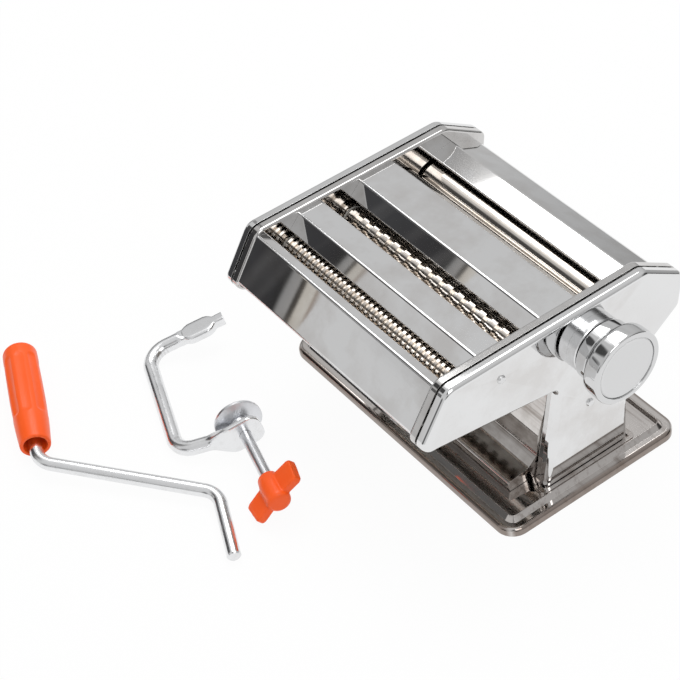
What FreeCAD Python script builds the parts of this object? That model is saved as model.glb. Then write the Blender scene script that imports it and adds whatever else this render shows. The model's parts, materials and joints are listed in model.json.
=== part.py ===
import FreeCAD, Part
import math
import os
import Sketcher
from FreeCAD import Matrix, Placement, Rotation, Vector

# Hand cranked pasta machine with three roller stations, its loose crank and its table clamp.
# Frame: millimetres, origin at the centre of the base's footprint on the table, X along the
# rollers towards the thickness knob, -Y towards the side where the pasta comes out, Z up.

SIZES = {
    # sheet thicknesses and the plates that carry everything
    "plate_gap": 154.0,
    "plate_wall": 1.2,
    "plate_flange": 5.0,
    "plate_edge": 1.5,
    "flange_gap": 1.4,
    "panel_depth": 5.9,
    "panel_wall": 1.0,
    "panel_edge": 3.0,
    "cover_wall": 0.8,
    "cover_bend": 1.2,
    # flat tops of the covers; the heights of the upper works count down from them
    "deck_height": 118.4,
    # side view outline of the plates
    "rim_rise": 3.4,
    "nose_front": 86.2,
    "chin_front": 105.2,
    "chin_drop": 25.9,
    "heel_front": 100.5,
    "heel_drop": 31.5,
    "crotch_front": 14.5,
    "crotch_drop": 43.5,
    "toe_front": 26.6,
    "heel_rear": 33.5,
    "bustle_drop": 62.4,
    "tail_low_rear": 71.0,
    "tail_low_drop": 34.9,
    "tail_top_rear": 74.0,
    "tail_top_drop": 14.1,
    "ridge_rear": 46.0,
    "round_large": 9.0,
    "round_small": 5.0,
    "inner_leg_inset": 2.5,
    # covers over the rollers
    "front_lip_front": 86.5,
    "front_foot_front": 102.7,
    "front_foot_drop": 24.4,
    "front_hem": 3.2,
    "front_ledge_run": 5.6,
    "front_ledge_fall": 1.7,
    "front_skirt_drop": 6.5,
    "front_middle_front": 57.9,
    "front_middle_rear": 42.8,
    "rear_middle_front": 15.8,
    "rear_middle_rear": 8.0,
    "hopper_wall_run": 8.2,
    "hopper_wall_drop": 7.3,
    "lip_drop": 5.2,
    "shelf_front": 35.0,
    "shelf_drop": 10.1,
    "crease_rear": 48.6,
    "crease_drop": 7.7,
    "back_inset": 4.9,
    "back_sink": 4.4,
    "back_foot_drop": 34.4,
    "return_front": 36.5,
    "return_drop": 58.9,
    # base
    "base_length": 202.8,
    "base_width": 123.7,
    "base_corner": 11.0,
    "skirt_height": 5.0,
    "skirt_edge": 2.6,
    "ledge_width": 2.9,
    "plateau_height": 8.0,
    "plateau_slope": 40.0,
    "plateau_width": 8.4,
    "floor_height": 6.0,
    "base_wall": 1.2,
    "plinth_rise": 1.5,
    "plinth_width": 11.0,
    "plinth_margin": 3.0,
    "slot_clearance": 0.4,
    "leg_sink": 2.5,
    # chute
    "chute_wall": 1.0,
    "chute_bend": 3.0,
    "chute_lip_front": 41.6,
    "chute_lip_height": 12.4,
    "foot_gap": 0.3,
    "chute_step_front": 27.8,
    "chute_step_height": 14.4,
    "chute_foot_front": 21.0,
    "chute_foot_height": 20.5,
    "chute_knee_front": 19.4,
    "chute_knee_height": 35.3,
    "chute_crest_front": 10.0,
    "chute_crest_drop": 54.4,
    "chute_top_drop": 41.9,
    "cheek_wall": 1.0,
    "rear_wall_rear": 32.0,
    "clamp_hole_radius": 4.7,
    "clamp_hole_height": 20.0,
    # smooth rollers
    "smooth_radius": 12.0,
    "smooth_rear_y": 34.5,
    "smooth_drop": 25.9,
    "smooth_nip": 0.33,
    "smooth_tilt": 15.0,
    "roller_end_gap": 1.8,
    # ringed cutter rollers
    "ring_radius": 9.0,
    "cutter_spacing": 17.0,
    "fine_rear_y": 66.0,
    "fine_drop": 18.9,
    "fine_pitch": 4.05,
    "fine_groove": 2.15,
    "fine_core": 7.0,
    "wide_rear_y": 23.5,
    "wide_drop": 21.9,
    "wide_pitch": 9.3,
    "wide_groove": 4.8,
    "wide_core": 7.0,
    # shafts, bushes and gears
    "journal_radius": 4.0,
    "drive_journal_radius": 5.5,
    "running_gap": 0.05,
    "journal_end": 2.6,
    "drive_end": 90.4,
    "socket_radius": 4.3,
    "socket_flat": 3.5,
    "socket_depth": 15.0,
    "socket_lead": 8.0,
    "socket_drive_radius": 4.1,
    "bush_wall": 1.5,
    "bush_flange": 1.0,
    "bush_flange_wall": 3.0,
    "gear_inner": 82.2,
    "gear_width": 4.5,
    "cutter_teeth": 17,
    "smooth_teeth": 16,
    "smooth_module": 1.5,
    "tooth_backlash": 0.3,
    "tooth_flank": 17.0,
    "panel_hole_gap": 0.6,
    # sliding yoke of the front smooth roller
    "yoke_wall": 2.0,
    "yoke_gap": 0.1,
    "yoke_travel": 2.4,
    "stud_radius": 2.0,
    "stud_head_radius": 3.2,
    "stud_head": 0.9,
    "stud_front_along": 15.5,
    "stud_front_across": 4.5,
    "stud_rear_along": 9.3,
    "yoke_bar_radius": 3.0,
    "yoke_bar_along": 16.0,
    "yoke_bar_across": 6.0,
    "yoke_front": 20.5,
    "yoke_rear": 13.5,
    "yoke_low": 8.5,
    "yoke_high": 10.5,
    "yoke_round": 2.5,
    "slot_gap": 0.3,
    # regulator
    "regulator_y": 7.5,
    "regulator_drop": 20.9,
    "scroll_growth": 3.0,
    "scroll_start": 8.0,
    "scroll_sweep": 288.0,
    "scroll_spare": 14.0,
    "scroll_pin_radius": 1.5,
    "scroll_pin_gap": 0.15,
    "scroll_radius": 13.6,
    "scroll_wall": 3.0,
    "scroll_inner": 81.8,
    "shaft_flat": 3.2,
    "shaft_reach": 10.2,
    "boss_radius": 17.0,
    "boss_length": 6.5,
    "index_holes": 10,
    "index_circle": 14.2,
    "index_radius": 1.4,
    "index_depth": 3.0,
    # knob
    "knob_gap": 1.5,
    "drum_radius": 18.0,
    "drum_length": 7.2,
    "waist_radius": 15.6,
    "waist_length": 3.1,
    "cap_radius": 22.1,
    "cap_length": 10.0,
    "knob_bevel": 1.2,
    "knob_floor": 4.2,
    "spring_cavity": 7.6,
    "cap_disc_radius": 18.6,
    "cap_disc_wall": 2.2,
    "cap_disc_recess": 0.6,
    "nib_radius": 1.1,
    "nib_gap": 0.25,
    "keeper_radius": 7.1,
    "keeper_wall": 1.2,
    # tie rods and screws
    "rod_radius": 2.5,
    "rod_front_in": 4.7,
    "rod_front_rise": 4.1,
    "rod_middle_in": 0.3,
    "rod_middle_drop": 8.4,
    "rod_rear_in": 16.0,
    "rod_rear_drop": 12.3,
    "nut_flats": 5.5,
    "nut_wall": 2.6,
    "screw_y": 52.6,
    "screw_drop": 9.6,
    "screw_head_radius": 2.6,
    "screw_head": 1.2,
    "leg_screw_y": 6.2,
    "leg_screw_drop": 65.7,
    "leg_screw_radius": 1.5,
    # combs and scrapers
    "comb_wall": 0.8,
    "comb_drop": 5.6,
    "comb_root_gap": 0.5,
    "comb_tooth_gap": 0.45,
    "comb_depth": 5.0,
    "scraper_width": 9.0,
    # crank
    "crank_rod_radius": 4.0,
    "crank_drive_leg": 47.1,
    "crank_arm": 108.4,
    "crank_bend": 60.8,
    "crank_round": 14.0,
    "crank_flat_length": 13.0,
    "crank_clearance": 0.15,
    "grip_length": 84.0,
    "grip_start": 12.5,
    "grip_radius": 11.0,
    "grip_top_radius": 10.3,
    "grip_mouth_radius": 9.0,
    "grip_dome": 5.0,
    "grip_bore_gap": 0.1,
    "grip_mouth_bore": 6.9,
    "grip_mouth_depth": 16.0,
    "grip_cap_wall": 7.0,
    "flute_radius": 5.0,
    "flute_depth": 0.7,
    "flute_count": 8,
    "flute_length": 50.0,
    "clip_radius": 6.4,
    "clip_wall": 1.0,
    "crank_end_x": 13.8,
    "crank_end_y": -182.3,
    "crank_heading": -23.6,
    # clamp
    "clamp_rod_radius": 4.5,
    "clamp_leg": 85.2,
    "clamp_round": 13.0,
    "clamp_reach": 39.6,
    "clamp_splay": 9.3,
    "clamp_heading": -20.6,
    "clamp_tilt": 15.0,
    "clamp_corner_x": -72.2,
    "clamp_corner_y": -162.5,
    "tongue_wall": 3.6,
    "tongue_width": 20.0,
    "tongue_length": 26.0,
    "coin_centre": 34.0,
    "coin_length": 20.0,
    "coin_width": 12.4,
    "coin_wall": 6.0,
    "peg_end": 51.0,
    "peg_flats": 6.4,
    "screw_radius": 3.4,
    "screw_axis_angle": 5.3,
    "screw_tongue_gap": 0.1,
    "screw_pad_offset": 10.2,
    "screw_hub_offset": 39.9,
    "pad_radius": 14.2,
    "pad_wall": 1.6,
    "pad_cup": 3.0,
    "pad_boss_radius": 6.0,
    "pad_boss": 3.2,
    "wing_hub_radius": 7.0,
    "wing_hub_length": 21.0,
    "wing_span": 36.0,
    "wing_wall": 6.0,
    "wing_chord": 15.0,
    "wing_roll": 28.0,
}

doc = FreeCAD.newDocument("PastaMachine")
sheet = doc.addObject("Spreadsheet::Sheet", "Sizes")
for row, (alias, number) in enumerate(SIZES.items(), start=1):
    sheet.set(f"A{row}", alias)
    sheet.set(f"B{row}", str(number))
    sheet.setAlias(f"B{row}", alias)
doc.recompute()


class Size:
    """A length or an angle with its number and the sheet expression that gives it."""

    def __init__(self, number, text):
        self.number = float(number)
        self.text = text

    def __add__(self, other):
        other = as_size(other)
        return Size(self.number + other.number, f"({self.text} + {other.text})")

    def __sub__(self, other):
        other = as_size(other)
        return Size(self.number - other.number, f"({self.text} - {other.text})")

    def __mul__(self, other):
        other = as_size(other)
        return Size(self.number * other.number, f"({self.text} * {other.text})")

    def __truediv__(self, other):
        other = as_size(other)
        return Size(self.number / other.number, f"({self.text} / {other.text})")

    def __neg__(self):
        return Size(-self.number, f"(0 - {self.text})")

    __radd__ = __add__
    __rmul__ = __mul__

    def __rsub__(self, other):
        return as_size(other) - self

    def __rtruediv__(self, other):
        return as_size(other) / self


def as_size(value):
    """A plain number as a Size, or the Size itself."""
    if isinstance(value, Size):
        return value
    return Size(value, repr(float(value)))


def cosine(angle):
    return Size(math.cos(math.radians(angle.number)), f"cos({angle.text} * 1 deg)")


def sine(angle):
    return Size(math.sin(math.radians(angle.number)), f"sin({angle.text} * 1 deg)")


def root(value):
    return Size(math.sqrt(value.number), f"sqrt({value.text})")


def size(alias):
    """The named value of the sheet."""
    return Size(SIZES[alias], f"Sizes.{alias}")


def bind(target, prop, value):
    """Set a property and tie it to the sheet."""
    value = as_size(value)
    if "." not in prop and "[" not in prop:
        whole = prop in ("Occurrences", "Polygon")
        setattr(target, prop, round(value.number) if whole else value.number)
    target.setExpression(prop, value.text)


def bind_place(target, x=0.0, y=0.0, z=0.0, rotation=Rotation()):
    """Place an object at a point that is tied to the sheet."""
    target.Placement = Placement(Vector(as_size(x).number, as_size(y).number, as_size(z).number), rotation)
    for letter, value in (("x", x), ("y", y), ("z", z)):
        target.setExpression(f"Placement.Base.{letter}", as_size(value).text)


# ---------------------------------------------------------------- sketch helpers

def fix_point(sketch, geometry, point, a, b):
    """Tie a sketch point's two coordinates to the sheet."""
    for kind, value in (("DistanceX", a), ("DistanceY", b)):
        value = as_size(value)
        index = sketch.addConstraint(Sketcher.Constraint(kind, geometry, point, value.number))
        sketch.setExpression(f"Constraints[{index}]", value.text)


def fix_value(sketch, kind, geometry, value):
    """Tie a one-geometry constraint such as a radius to the sheet."""
    value = as_size(value)
    index = sketch.addConstraint(Sketcher.Constraint(kind, geometry, value.number))
    sketch.setExpression(f"Constraints[{index}]", value.text)


def draw_circle(sketch, a, b, radius):
    circle = Part.Circle(Vector(as_size(a).number, as_size(b).number, 0), Vector(0, 0, 1), as_size(radius).number)
    index = sketch.addGeometry(circle, False)
    fix_point(sketch, index, 3, a, b)
    fix_value(sketch, "Radius", index, radius)


def corner_round(before, corner, after, radius):
    """Both tangent points and the middle of the arc that rounds a corner."""
    to_before = (before - corner).normalize()
    to_after = (after - corner).normalize()
    half = to_before.getAngle(to_after) / 2
    reach = radius / math.tan(half)
    centre = corner + (to_before + to_after).normalize() * (radius / math.sin(half))
    middle = centre + (corner - centre).normalize() * radius
    return corner + to_before * reach, middle, corner + to_after * reach


def draw_arc(sketch, start, middle, end):
    """Add an arc drawn counter-clockwise; give its index and the names of its start and end points."""
    turning = (middle - start).cross(end - middle).z
    if turning > 0:
        return sketch.addGeometry(Part.Arc(start, middle, end), False), 1, 2
    return sketch.addGeometry(Part.Arc(end, middle, start), False), 2, 1


def draw_outline(sketch, corners, closed=True):
    """Draw straight runs through (a, b) or (a, b, radius) corners, rounding those with a radius."""
    count = len(corners)
    points = [Vector(as_size(c[0]).number, as_size(c[1]).number, 0) for c in corners]
    radii = [as_size(c[2]) if len(c) > 2 else None for c in corners]
    arrive = list(points)
    leave = list(points)
    arcs = {}
    for i in range(count):
        if radii[i] is None:
            continue
        rounds = corner_round(points[i - 1], points[i], points[(i + 1) % count], radii[i].number)
        arrive[i], middle, leave[i] = rounds
        arcs[i] = draw_arc(sketch, *rounds)
    runs = count if closed else count - 1
    lines = []
    for i in range(runs):
        lines.append(sketch.addGeometry(Part.LineSegment(leave[i], arrive[(i + 1) % count]), False))
    for i in range(count):
        into = lines[i - 1] if (closed or i > 0) else None
        out = lines[i] if i < runs else None
        a, b = corners[i][0], corners[i][1]
        if i in arcs:
            arc, first, last = arcs[i]
            sketch.addConstraint(Sketcher.Constraint("Tangent", into, 2, arc, first))
            sketch.addConstraint(Sketcher.Constraint("Tangent", out, 1, arc, last))
            mark = sketch.addGeometry(Part.Point(points[i]), True)
            sketch.addConstraint(Sketcher.Constraint("PointOnObject", mark, 1, into))
            sketch.addConstraint(Sketcher.Constraint("PointOnObject", mark, 1, out))
            fix_point(sketch, mark, 1, a, b)
            fix_value(sketch, "Radius", arc, radii[i])
        else:
            if into is not None and out is not None:
                sketch.addConstraint(Sketcher.Constraint("Coincident", into, 2, out, 1))
            if out is not None:
                fix_point(sketch, out, 1, a, b)
            else:
                fix_point(sketch, into, 2, a, b)


def rectangle(a0, a1, b0, b1, radius=None):
    """The four corners of a rectangle, rounded if a radius is given."""
    corners = [(a0, b0), (a1, b0), (a1, b1), (a0, b1)]
    if radius is None:
        return corners
    return [corner + (radius,) for corner in corners]


def draw_slot(sketch, a, b, along_a, along_b, back, ahead, radius):
    """A round-ended slot about (a, b) that runs from -back to +ahead along a unit direction."""
    ends = ((a - along_a * back, b - along_b * back), (a + along_a * ahead, b + along_b * ahead))
    across = Vector(-along_b.number, along_a.number, 0)
    flow = Vector(along_a.number, along_b.number, 0)
    centres = [Vector(end[0].number, end[1].number, 0) for end in ends]
    reach = as_size(radius).number
    side = across * reach
    start, high_start, low_start = draw_arc(
        sketch, centres[0] + side, centres[0] - flow * reach, centres[0] - side)
    stop, low_stop, high_stop = draw_arc(
        sketch, centres[1] - side, centres[1] + flow * reach, centres[1] + side)
    low = sketch.addGeometry(Part.LineSegment(centres[0] - side, centres[1] - side), False)
    high = sketch.addGeometry(Part.LineSegment(centres[1] + side, centres[0] + side), False)
    sketch.addConstraint(Sketcher.Constraint("Tangent", low, 1, start, low_start))
    sketch.addConstraint(Sketcher.Constraint("Tangent", low, 2, stop, low_stop))
    sketch.addConstraint(Sketcher.Constraint("Tangent", high, 1, stop, high_stop))
    sketch.addConstraint(Sketcher.Constraint("Tangent", high, 2, start, high_start))
    fix_point(sketch, start, 3, *ends[0])
    fix_point(sketch, stop, 3, *ends[1])
    fix_value(sketch, "Radius", start, radius)


def draw_flatted_circle(sketch, radius, flat):
    """A circle about the sketch's origin with one side cut off at b = flat."""
    radius, flat = as_size(radius), as_size(flat)
    half = math.sqrt(radius.number ** 2 - flat.number ** 2)
    left, right = Vector(-half, flat.number, 0), Vector(half, flat.number, 0)
    arc, at_left, at_right = draw_arc(sketch, left, Vector(0, -radius.number, 0), right)
    line = sketch.addGeometry(Part.LineSegment(right, left), False)
    sketch.addConstraint(Sketcher.Constraint("Coincident", line, 1, arc, at_right))
    sketch.addConstraint(Sketcher.Constraint("Coincident", line, 2, arc, at_left))
    sketch.addConstraint(Sketcher.Constraint("Horizontal", line))
    fix_point(sketch, arc, 3, 0, 0)
    fix_value(sketch, "Radius", arc, radius)
    index = sketch.addConstraint(Sketcher.Constraint("DistanceY", line, 1, flat.number))
    sketch.setExpression(f"Constraints[{index}]", flat.text)


# ---------------------------------------------------------------- body helpers

NODES = []


def register(node):
    """Keep a finished sub-part for the export."""
    NODES.append(node)
    return node


def new_body(name):
    body = doc.addObject("PartDesign::Body", name)
    body.Label = name
    return register(body)


def sketch_on(body, plane, offset=0.0):
    """A sketch on one of the body's own origin planes, moved along its normal."""
    sketch = body.newObject("Sketcher::SketchObject", f"{body.Name}_sketch")
    support = [item for item in body.Origin.OriginFeatures if item.Role == plane][0]
    sketch.AttachmentSupport = [(support, "")]
    sketch.MapMode = "FlatFace"
    sketch.AttachmentOffset = Placement(Vector(0, 0, as_size(offset).number), Rotation())
    sketch.setExpression("AttachmentOffset.Base.z", as_size(offset).text)
    return sketch


def feature(body, kind, sketch, length=None, reverse=False, symmetric=False, taper=None):
    """A pad or a pocket of a sketch."""
    made = body.newObject(f"PartDesign::{kind}", f"{body.Name}_{kind.lower()}")
    made.Profile = sketch
    if length is not None:
        bind(made, "Length", length)
    made.Reversed = reverse
    if symmetric:
        made.SideType = "Symmetric"
    if taper is not None:
        bind(made, "TaperAngle", taper)
    body.Tip = made
    return made


def pocket(body, sketch, length, reverse=False, symmetric=False):
    """A pocket that must take something away."""
    doc.recompute()
    before = body.Shape.Volume
    made = feature(body, "Pocket", sketch, length, reverse, symmetric)
    doc.recompute()
    if body.Shape.Volume > before - 1e-3:
        raise RuntimeError(f"pocket in {body.Label} cuts nothing")
    return made


def turned(name, profile, centre=None):
    """A body of revolution about its own X axis from (axial, radial) corners."""
    body = new_body(name)
    sketch = sketch_on(body, "XZ_Plane")
    draw_outline(sketch, profile)
    made = body.newObject("PartDesign::Revolution", f"{name}_revolution")
    made.Profile = sketch
    made.ReferenceAxis = (sketch, ["H_Axis"])
    made.Angle = 360.0
    body.Tip = made
    if centre is not None:
        bind_place(body, 0.0, centre[0], centre[1])
    return body


def round_edges(body, test, radius):
    """Fillet the edges of the body's present shape that pass a test."""
    doc.recompute()
    base = body.Tip
    names = edge_names(body.Shape, test)
    fillet = body.newObject("PartDesign::Fillet", f"{body.Name}_round")
    fillet.Base = (base, names)
    bind(fillet, "Radius", radius)
    body.Tip = fillet
    doc.recompute()
    return fillet


def face_names(shape, test):
    return [f"Face{i}" for i, face in enumerate(shape.Faces, start=1) if test(face)]


def edge_names(shape, test):
    return [f"Edge{i}" for i, edge in enumerate(shape.Edges, start=1) if test(edge)]


def lies_at(item, axis, value, slack=1e-4):
    """Whether an edge or a face lies wholly in the plane axis = value."""
    box = item.BoundBox
    low, high = ((box.XMin, box.XMax), (box.YMin, box.YMax), (box.ZMin, box.ZMax))[axis]
    return abs(low - value) < slack and abs(high - value) < slack


def hollow(body, test, wall):
    """Shell a body inwards, leaving open the faces that pass a test."""
    base = body.Tip
    names = face_names(body.Shape, test)
    shell = body.newObject("PartDesign::Thickness", f"{body.Name}_shell")
    shell.Base = (base, names)
    bind(shell, "Value", wall)
    shell.Reversed = True
    shell.Join = "Intersection"
    body.Tip = shell
    doc.recompute()
    return shell


def pattern(body, original, direction, length, count):
    """Repeat a feature along a line."""
    made = body.newObject("PartDesign::LinearPattern", f"{body.Name}_row")
    made.Originals = [original]
    made.Direction = direction
    bind(made, "Length", length)
    bind(made, "Occurrences", count)
    body.Tip = made
    return made


def ring_of(body, original, axis, count):
    """Repeat a feature all round an axis."""
    made = body.newObject("PartDesign::PolarPattern", f"{body.Name}_ring")
    made.Originals = [original]
    made.Axis = axis
    made.Angle = 360.0
    bind(made, "Occurrences", count)
    body.Tip = made
    return made


SIDE_VIEW = Rotation(Vector(1, 1, 1), 120)


def bent_sheet(name, path, wall, width):
    """A sheet bent along a path in the YZ plane and as wide as the gap it spans, centred on X = 0."""
    line = doc.addObject("Sketcher::SketchObject", f"{name}_path")
    line.Placement = Placement(Vector(0, 0, 0), SIDE_VIEW)
    draw_outline(line, path, closed=False)
    band = doc.addObject("Part::Offset2D", f"{name}_band")
    band.Source = line
    bind(band, "Value", wall)
    band.Fill = True
    band.Join = "Arc"
    made = doc.addObject("Part::Extrusion", name)
    made.Label = name
    made.Base = band
    made.DirMode = "Custom"
    made.Dir = Vector(1, 0, 0)
    bind(made, "LengthFwd", width)
    made.Solid = True
    made.Symmetric = True
    return made


def tube_along_x(name, inner_x, outer_x, radius, bore, y, z):
    """A plain tube or, without a bore, a rod that runs along X."""
    rod = doc.addObject("Part::Cylinder", f"{name}_outside")
    bind(rod, "Radius", radius)
    bind(rod, "Height", outer_x - inner_x)
    bind_place(rod, inner_x, y, z, Rotation(Vector(0, 1, 0), 90))
    if bore is None:
        return rod
    hole = doc.addObject("Part::Cylinder", f"{name}_bore")
    bind(hole, "Radius", bore)
    bind(hole, "Height", outer_x - inner_x)
    bind_place(hole, inner_x, y, z, Rotation(Vector(0, 1, 0), 90))
    made = doc.addObject("Part::Cut", name)
    made.Base = rod
    made.Tool = hole
    return made


def group(name, members):
    """Several loose solids that share one node."""
    made = doc.addObject("Part::Compound", name)
    made.Label = name
    made.Links = members
    return register(made)


# ---------------------------------------------------------------- shared places

half_gap = size("plate_gap") / 2
plate_outer = half_gap + size("plate_wall")
flange_outer = half_gap + size("plate_flange")
panel_inner = flange_outer + size("flange_gap")
panel_face = panel_inner + size("panel_depth")
panel_back = panel_face - size("panel_wall")
roller_end = half_gap - size("roller_end_gap")
journal_tip = plate_outer + size("journal_end")

deck = size("deck_height")


def below_deck(alias):
    """A height that is given by its drop below the deck."""
    return deck - size(alias)


# The front smooth roller sits up the tilted line from the rear one and leaves it along that line.
open_y = -cosine(size("smooth_tilt"))
open_z = sine(size("smooth_tilt"))
smooth_spacing = size("smooth_radius") * 2 + size("smooth_nip")
smooth_rear = (size("smooth_rear_y"), below_deck("smooth_drop"))
smooth_front = (smooth_rear[0] + open_y * smooth_spacing, smooth_rear[1] + open_z * smooth_spacing)
fine_rear = (-size("fine_rear_y"), below_deck("fine_drop"))
fine_front = (fine_rear[0] - size("cutter_spacing"), fine_rear[1])
wide_rear = (-size("wide_rear_y"), below_deck("wide_drop"))
wide_front = (wide_rear[0] - size("cutter_spacing"), wide_rear[1])
regulator = (size("regulator_y"), below_deck("regulator_drop"))
scroll_pin = (regulator[0] + open_y * size("scroll_start"), regulator[1] + open_z * size("scroll_start"))


def from_front_roller(along, across):
    """A point given along the opening direction and across it, from the front smooth roller's axis."""
    return (smooth_front[0] + open_y * along - open_z * across,
            smooth_front[1] + open_z * along + open_y * across)


front_stud = from_front_roller(size("stud_front_along"), -size("stud_front_across"))
rear_stud = from_front_roller(-size("stud_rear_along"), as_size(0.0))
yoke_bar = from_front_roller(size("yoke_bar_along"), size("yoke_bar_across"))

FIXED_DRIVEN = (smooth_rear, fine_rear, wide_rear)
FIXED_PLAIN = (fine_front, wide_front)
rod_front = (size("rod_front_in") - size("heel_front"), below_deck("heel_drop") + size("rod_front_rise"))
rod_screw = (-size("screw_y"), below_deck("screw_drop"))
rod_middle = (size("rod_middle_in") - size("rear_middle_front"), below_deck("rod_middle_drop"))
rod_rear = (size("tail_top_rear") - size("rod_rear_in"), below_deck("tail_top_drop") - size("rod_rear_drop"))
TIE_RODS = (rod_front, rod_screw, rod_middle, rod_rear)


# ---------------------------------------------------------------- side plates and panels

def side_outline(leg_inset, leg_bottom):
    """The side view outline that the inner plates and the outer panels share."""
    large, small = size("round_large"), size("round_small")
    return [
        (size("ridge_rear"), deck + size("rim_rise"), large),
        (-size("nose_front"), deck + size("rim_rise"), large),
        (-size("chin_front"), below_deck("chin_drop"), small),
        (-size("heel_front"), below_deck("heel_drop"), small),
        (-size("crotch_front") + leg_inset, below_deck("crotch_drop"), small),
        (-size("toe_front") + leg_inset, leg_bottom),
        (size("heel_rear") - leg_inset, leg_bottom),
        (size("heel_rear") - leg_inset, below_deck("bustle_drop"), small),
        (size("tail_low_rear"), below_deck("tail_low_drop"), small),
        (size("tail_top_rear"), below_deck("tail_top_drop"), small),
    ]


def pressed_side(name, side, near, depth, wall, edge, web_outside, leg_inset, leg_bottom):
    """A pressed tray: a web with a flange all round, open below and on the side without the web."""
    body = new_body(name)
    sketch = sketch_on(body, "YZ_Plane", near * side)
    draw_outline(sketch, side_outline(leg_inset, leg_bottom))
    feature(body, "Pad", sketch, depth, reverse=side < 0)
    doc.recompute()
    far = side * (near.number + depth.number)
    web_x, open_x = (far, side * near.number) if web_outside else (side * near.number, far)
    bottom = leg_bottom.number
    round_edges(body, lambda e: lies_at(e, 0, web_x) and not lies_at(e, 2, bottom), edge)
    hollow(body, lambda f: lies_at(f, 0, open_x) or lies_at(f, 2, bottom), wall)
    return body


def bore_plate(body, side, near, depth, circles=(), slots=()):
    """Cut round holes and slots through a side plate or panel."""
    sketch = sketch_on(body, "YZ_Plane", near * side)
    for y, z, radius in circles:
        draw_circle(sketch, y, z, radius)
    for y, z, radius in slots:
        draw_slot(sketch, y, z, open_y, open_z, as_size(0.0), size("yoke_travel"), radius)
    return pocket(body, sketch, depth, reverse=side > 0)


def inner_plate(name, side):
    body = pressed_side(name, side, half_gap, size("plate_flange"), size("plate_wall"),
                        size("plate_edge"), False, size("inner_leg_inset"), size("floor_height"))
    plain = size("journal_radius") + size("running_gap") + size("bush_wall")
    driven = size("drive_journal_radius") + size("running_gap") + size("bush_wall")
    wide = driven if side < 0 else plain
    holes = [(y, z, wide) for y, z in FIXED_DRIVEN]
    holes += [(y, z, plain) for y, z in FIXED_PLAIN]
    holes += [(y, z, size("rod_radius")) for y, z in TIE_RODS]
    holes += [(y, z, size("stud_radius")) for y, z in (front_stud, rear_stud)]
    holes.append((size("leg_screw_y"), below_deck("leg_screw_drop"), size("leg_screw_radius")))
    gap = size("slot_gap")
    slots = [
        (smooth_front[0], smooth_front[1], size("journal_radius") + gap),
        (yoke_bar[0], yoke_bar[1], size("yoke_bar_radius") + gap),
    ]
    bore_plate(body, side, half_gap, size("plate_flange"), holes, slots)
    return body


def outer_panel(name, side):
    body = pressed_side(name, side, panel_inner, size("panel_depth"), size("panel_wall"),
                        size("panel_edge"), True, as_size(0.0), size("floor_height") - size("leg_sink"))
    holes = [
        (rod_screw[0], rod_screw[1], size("leg_screw_radius")),
        (size("leg_screw_y"), below_deck("leg_screw_drop"), size("leg_screw_radius")),
    ]
    if side < 0:
        clear = size("drive_journal_radius") + size("panel_hole_gap")
        holes += [(y, z, clear) for y, z in FIXED_DRIVEN]
    else:
        holes.append((regulator[0], regulator[1], size("journal_radius") + size("bush_wall")))
    bore_plate(body, side, panel_inner, size("panel_depth") + 1.0, holes)
    return body


inner_plate("inner_plate_left", -1)
inner_plate("inner_plate_right", 1)
outer_panel("outer_panel_left", -1)
outer_panel("outer_panel_right", 1)


# ---------------------------------------------------------------- covers

def cover(name, path):
    return register(bent_sheet(name, path, size("cover_wall"), size("plate_gap")))


bend = size("cover_bend")
front_foot = below_deck("front_foot_drop")
ledge_end = (size("front_ledge_run") - size("front_lip_front"), below_deck("front_ledge_fall"))
cover("front_cover", [
    (size("front_hem") - size("front_foot_front"), front_foot - size("front_hem") / 3),
    (-size("front_foot_front"), front_foot, bend),
    (-size("front_lip_front"), deck, bend),
    ledge_end + (bend,),
    (ledge_end[0] + size("front_skirt_drop") / 5, ledge_end[1] - size("front_skirt_drop")),
])


def deck_cover(name, front, rear):
    """A flat topped cover with a sloping hopper wall in front and a short lip behind."""
    return cover(name, [
        (front - size("hopper_wall_run") + 1.2, deck - size("hopper_wall_drop")),
        (front, deck, bend),
        (rear, deck, bend),
        (rear + 1.2, deck - size("lip_drop")),
    ])


deck_cover("front_middle_cover", -size("front_middle_front"), -size("front_middle_rear"))
deck_cover("rear_middle_cover", -size("rear_middle_front"), size("rear_middle_rear"))
back_rear = size("tail_top_rear") - size("back_inset")
cover("rear_cover", [
    (size("shelf_front"), below_deck("shelf_drop")),
    (size("crease_rear"), below_deck("crease_drop"), bend),
    (back_rear, below_deck("tail_top_drop") - size("back_sink"), size("round_small")),
    (back_rear, below_deck("back_foot_drop"), size("round_small")),
    (size("return_front"), below_deck("return_drop")),
])


# ---------------------------------------------------------------- chute and rear wall

chute_round = size("chute_bend")
foot_level = size("floor_height") + size("foot_gap")
chute_sheet = bent_sheet("chute_sheet", [
    (-size("chute_lip_front") + 1.0, foot_level + size("chute_wall")),
    (-size("chute_lip_front"), size("chute_lip_height"), 1.0),
    (-size("chute_step_front"), size("chute_step_height"), chute_round),
    (-size("chute_foot_front"), size("chute_foot_height"), chute_round),
    (-size("chute_knee_front"), size("chute_knee_height"), chute_round),
    (-size("chute_crest_front"), below_deck("chute_crest_drop"), chute_round),
    (size("rear_wall_rear") - size("chute_wall") - 1.2, below_deck("chute_top_drop")),
], size("chute_wall"), size("plate_gap"))


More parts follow.
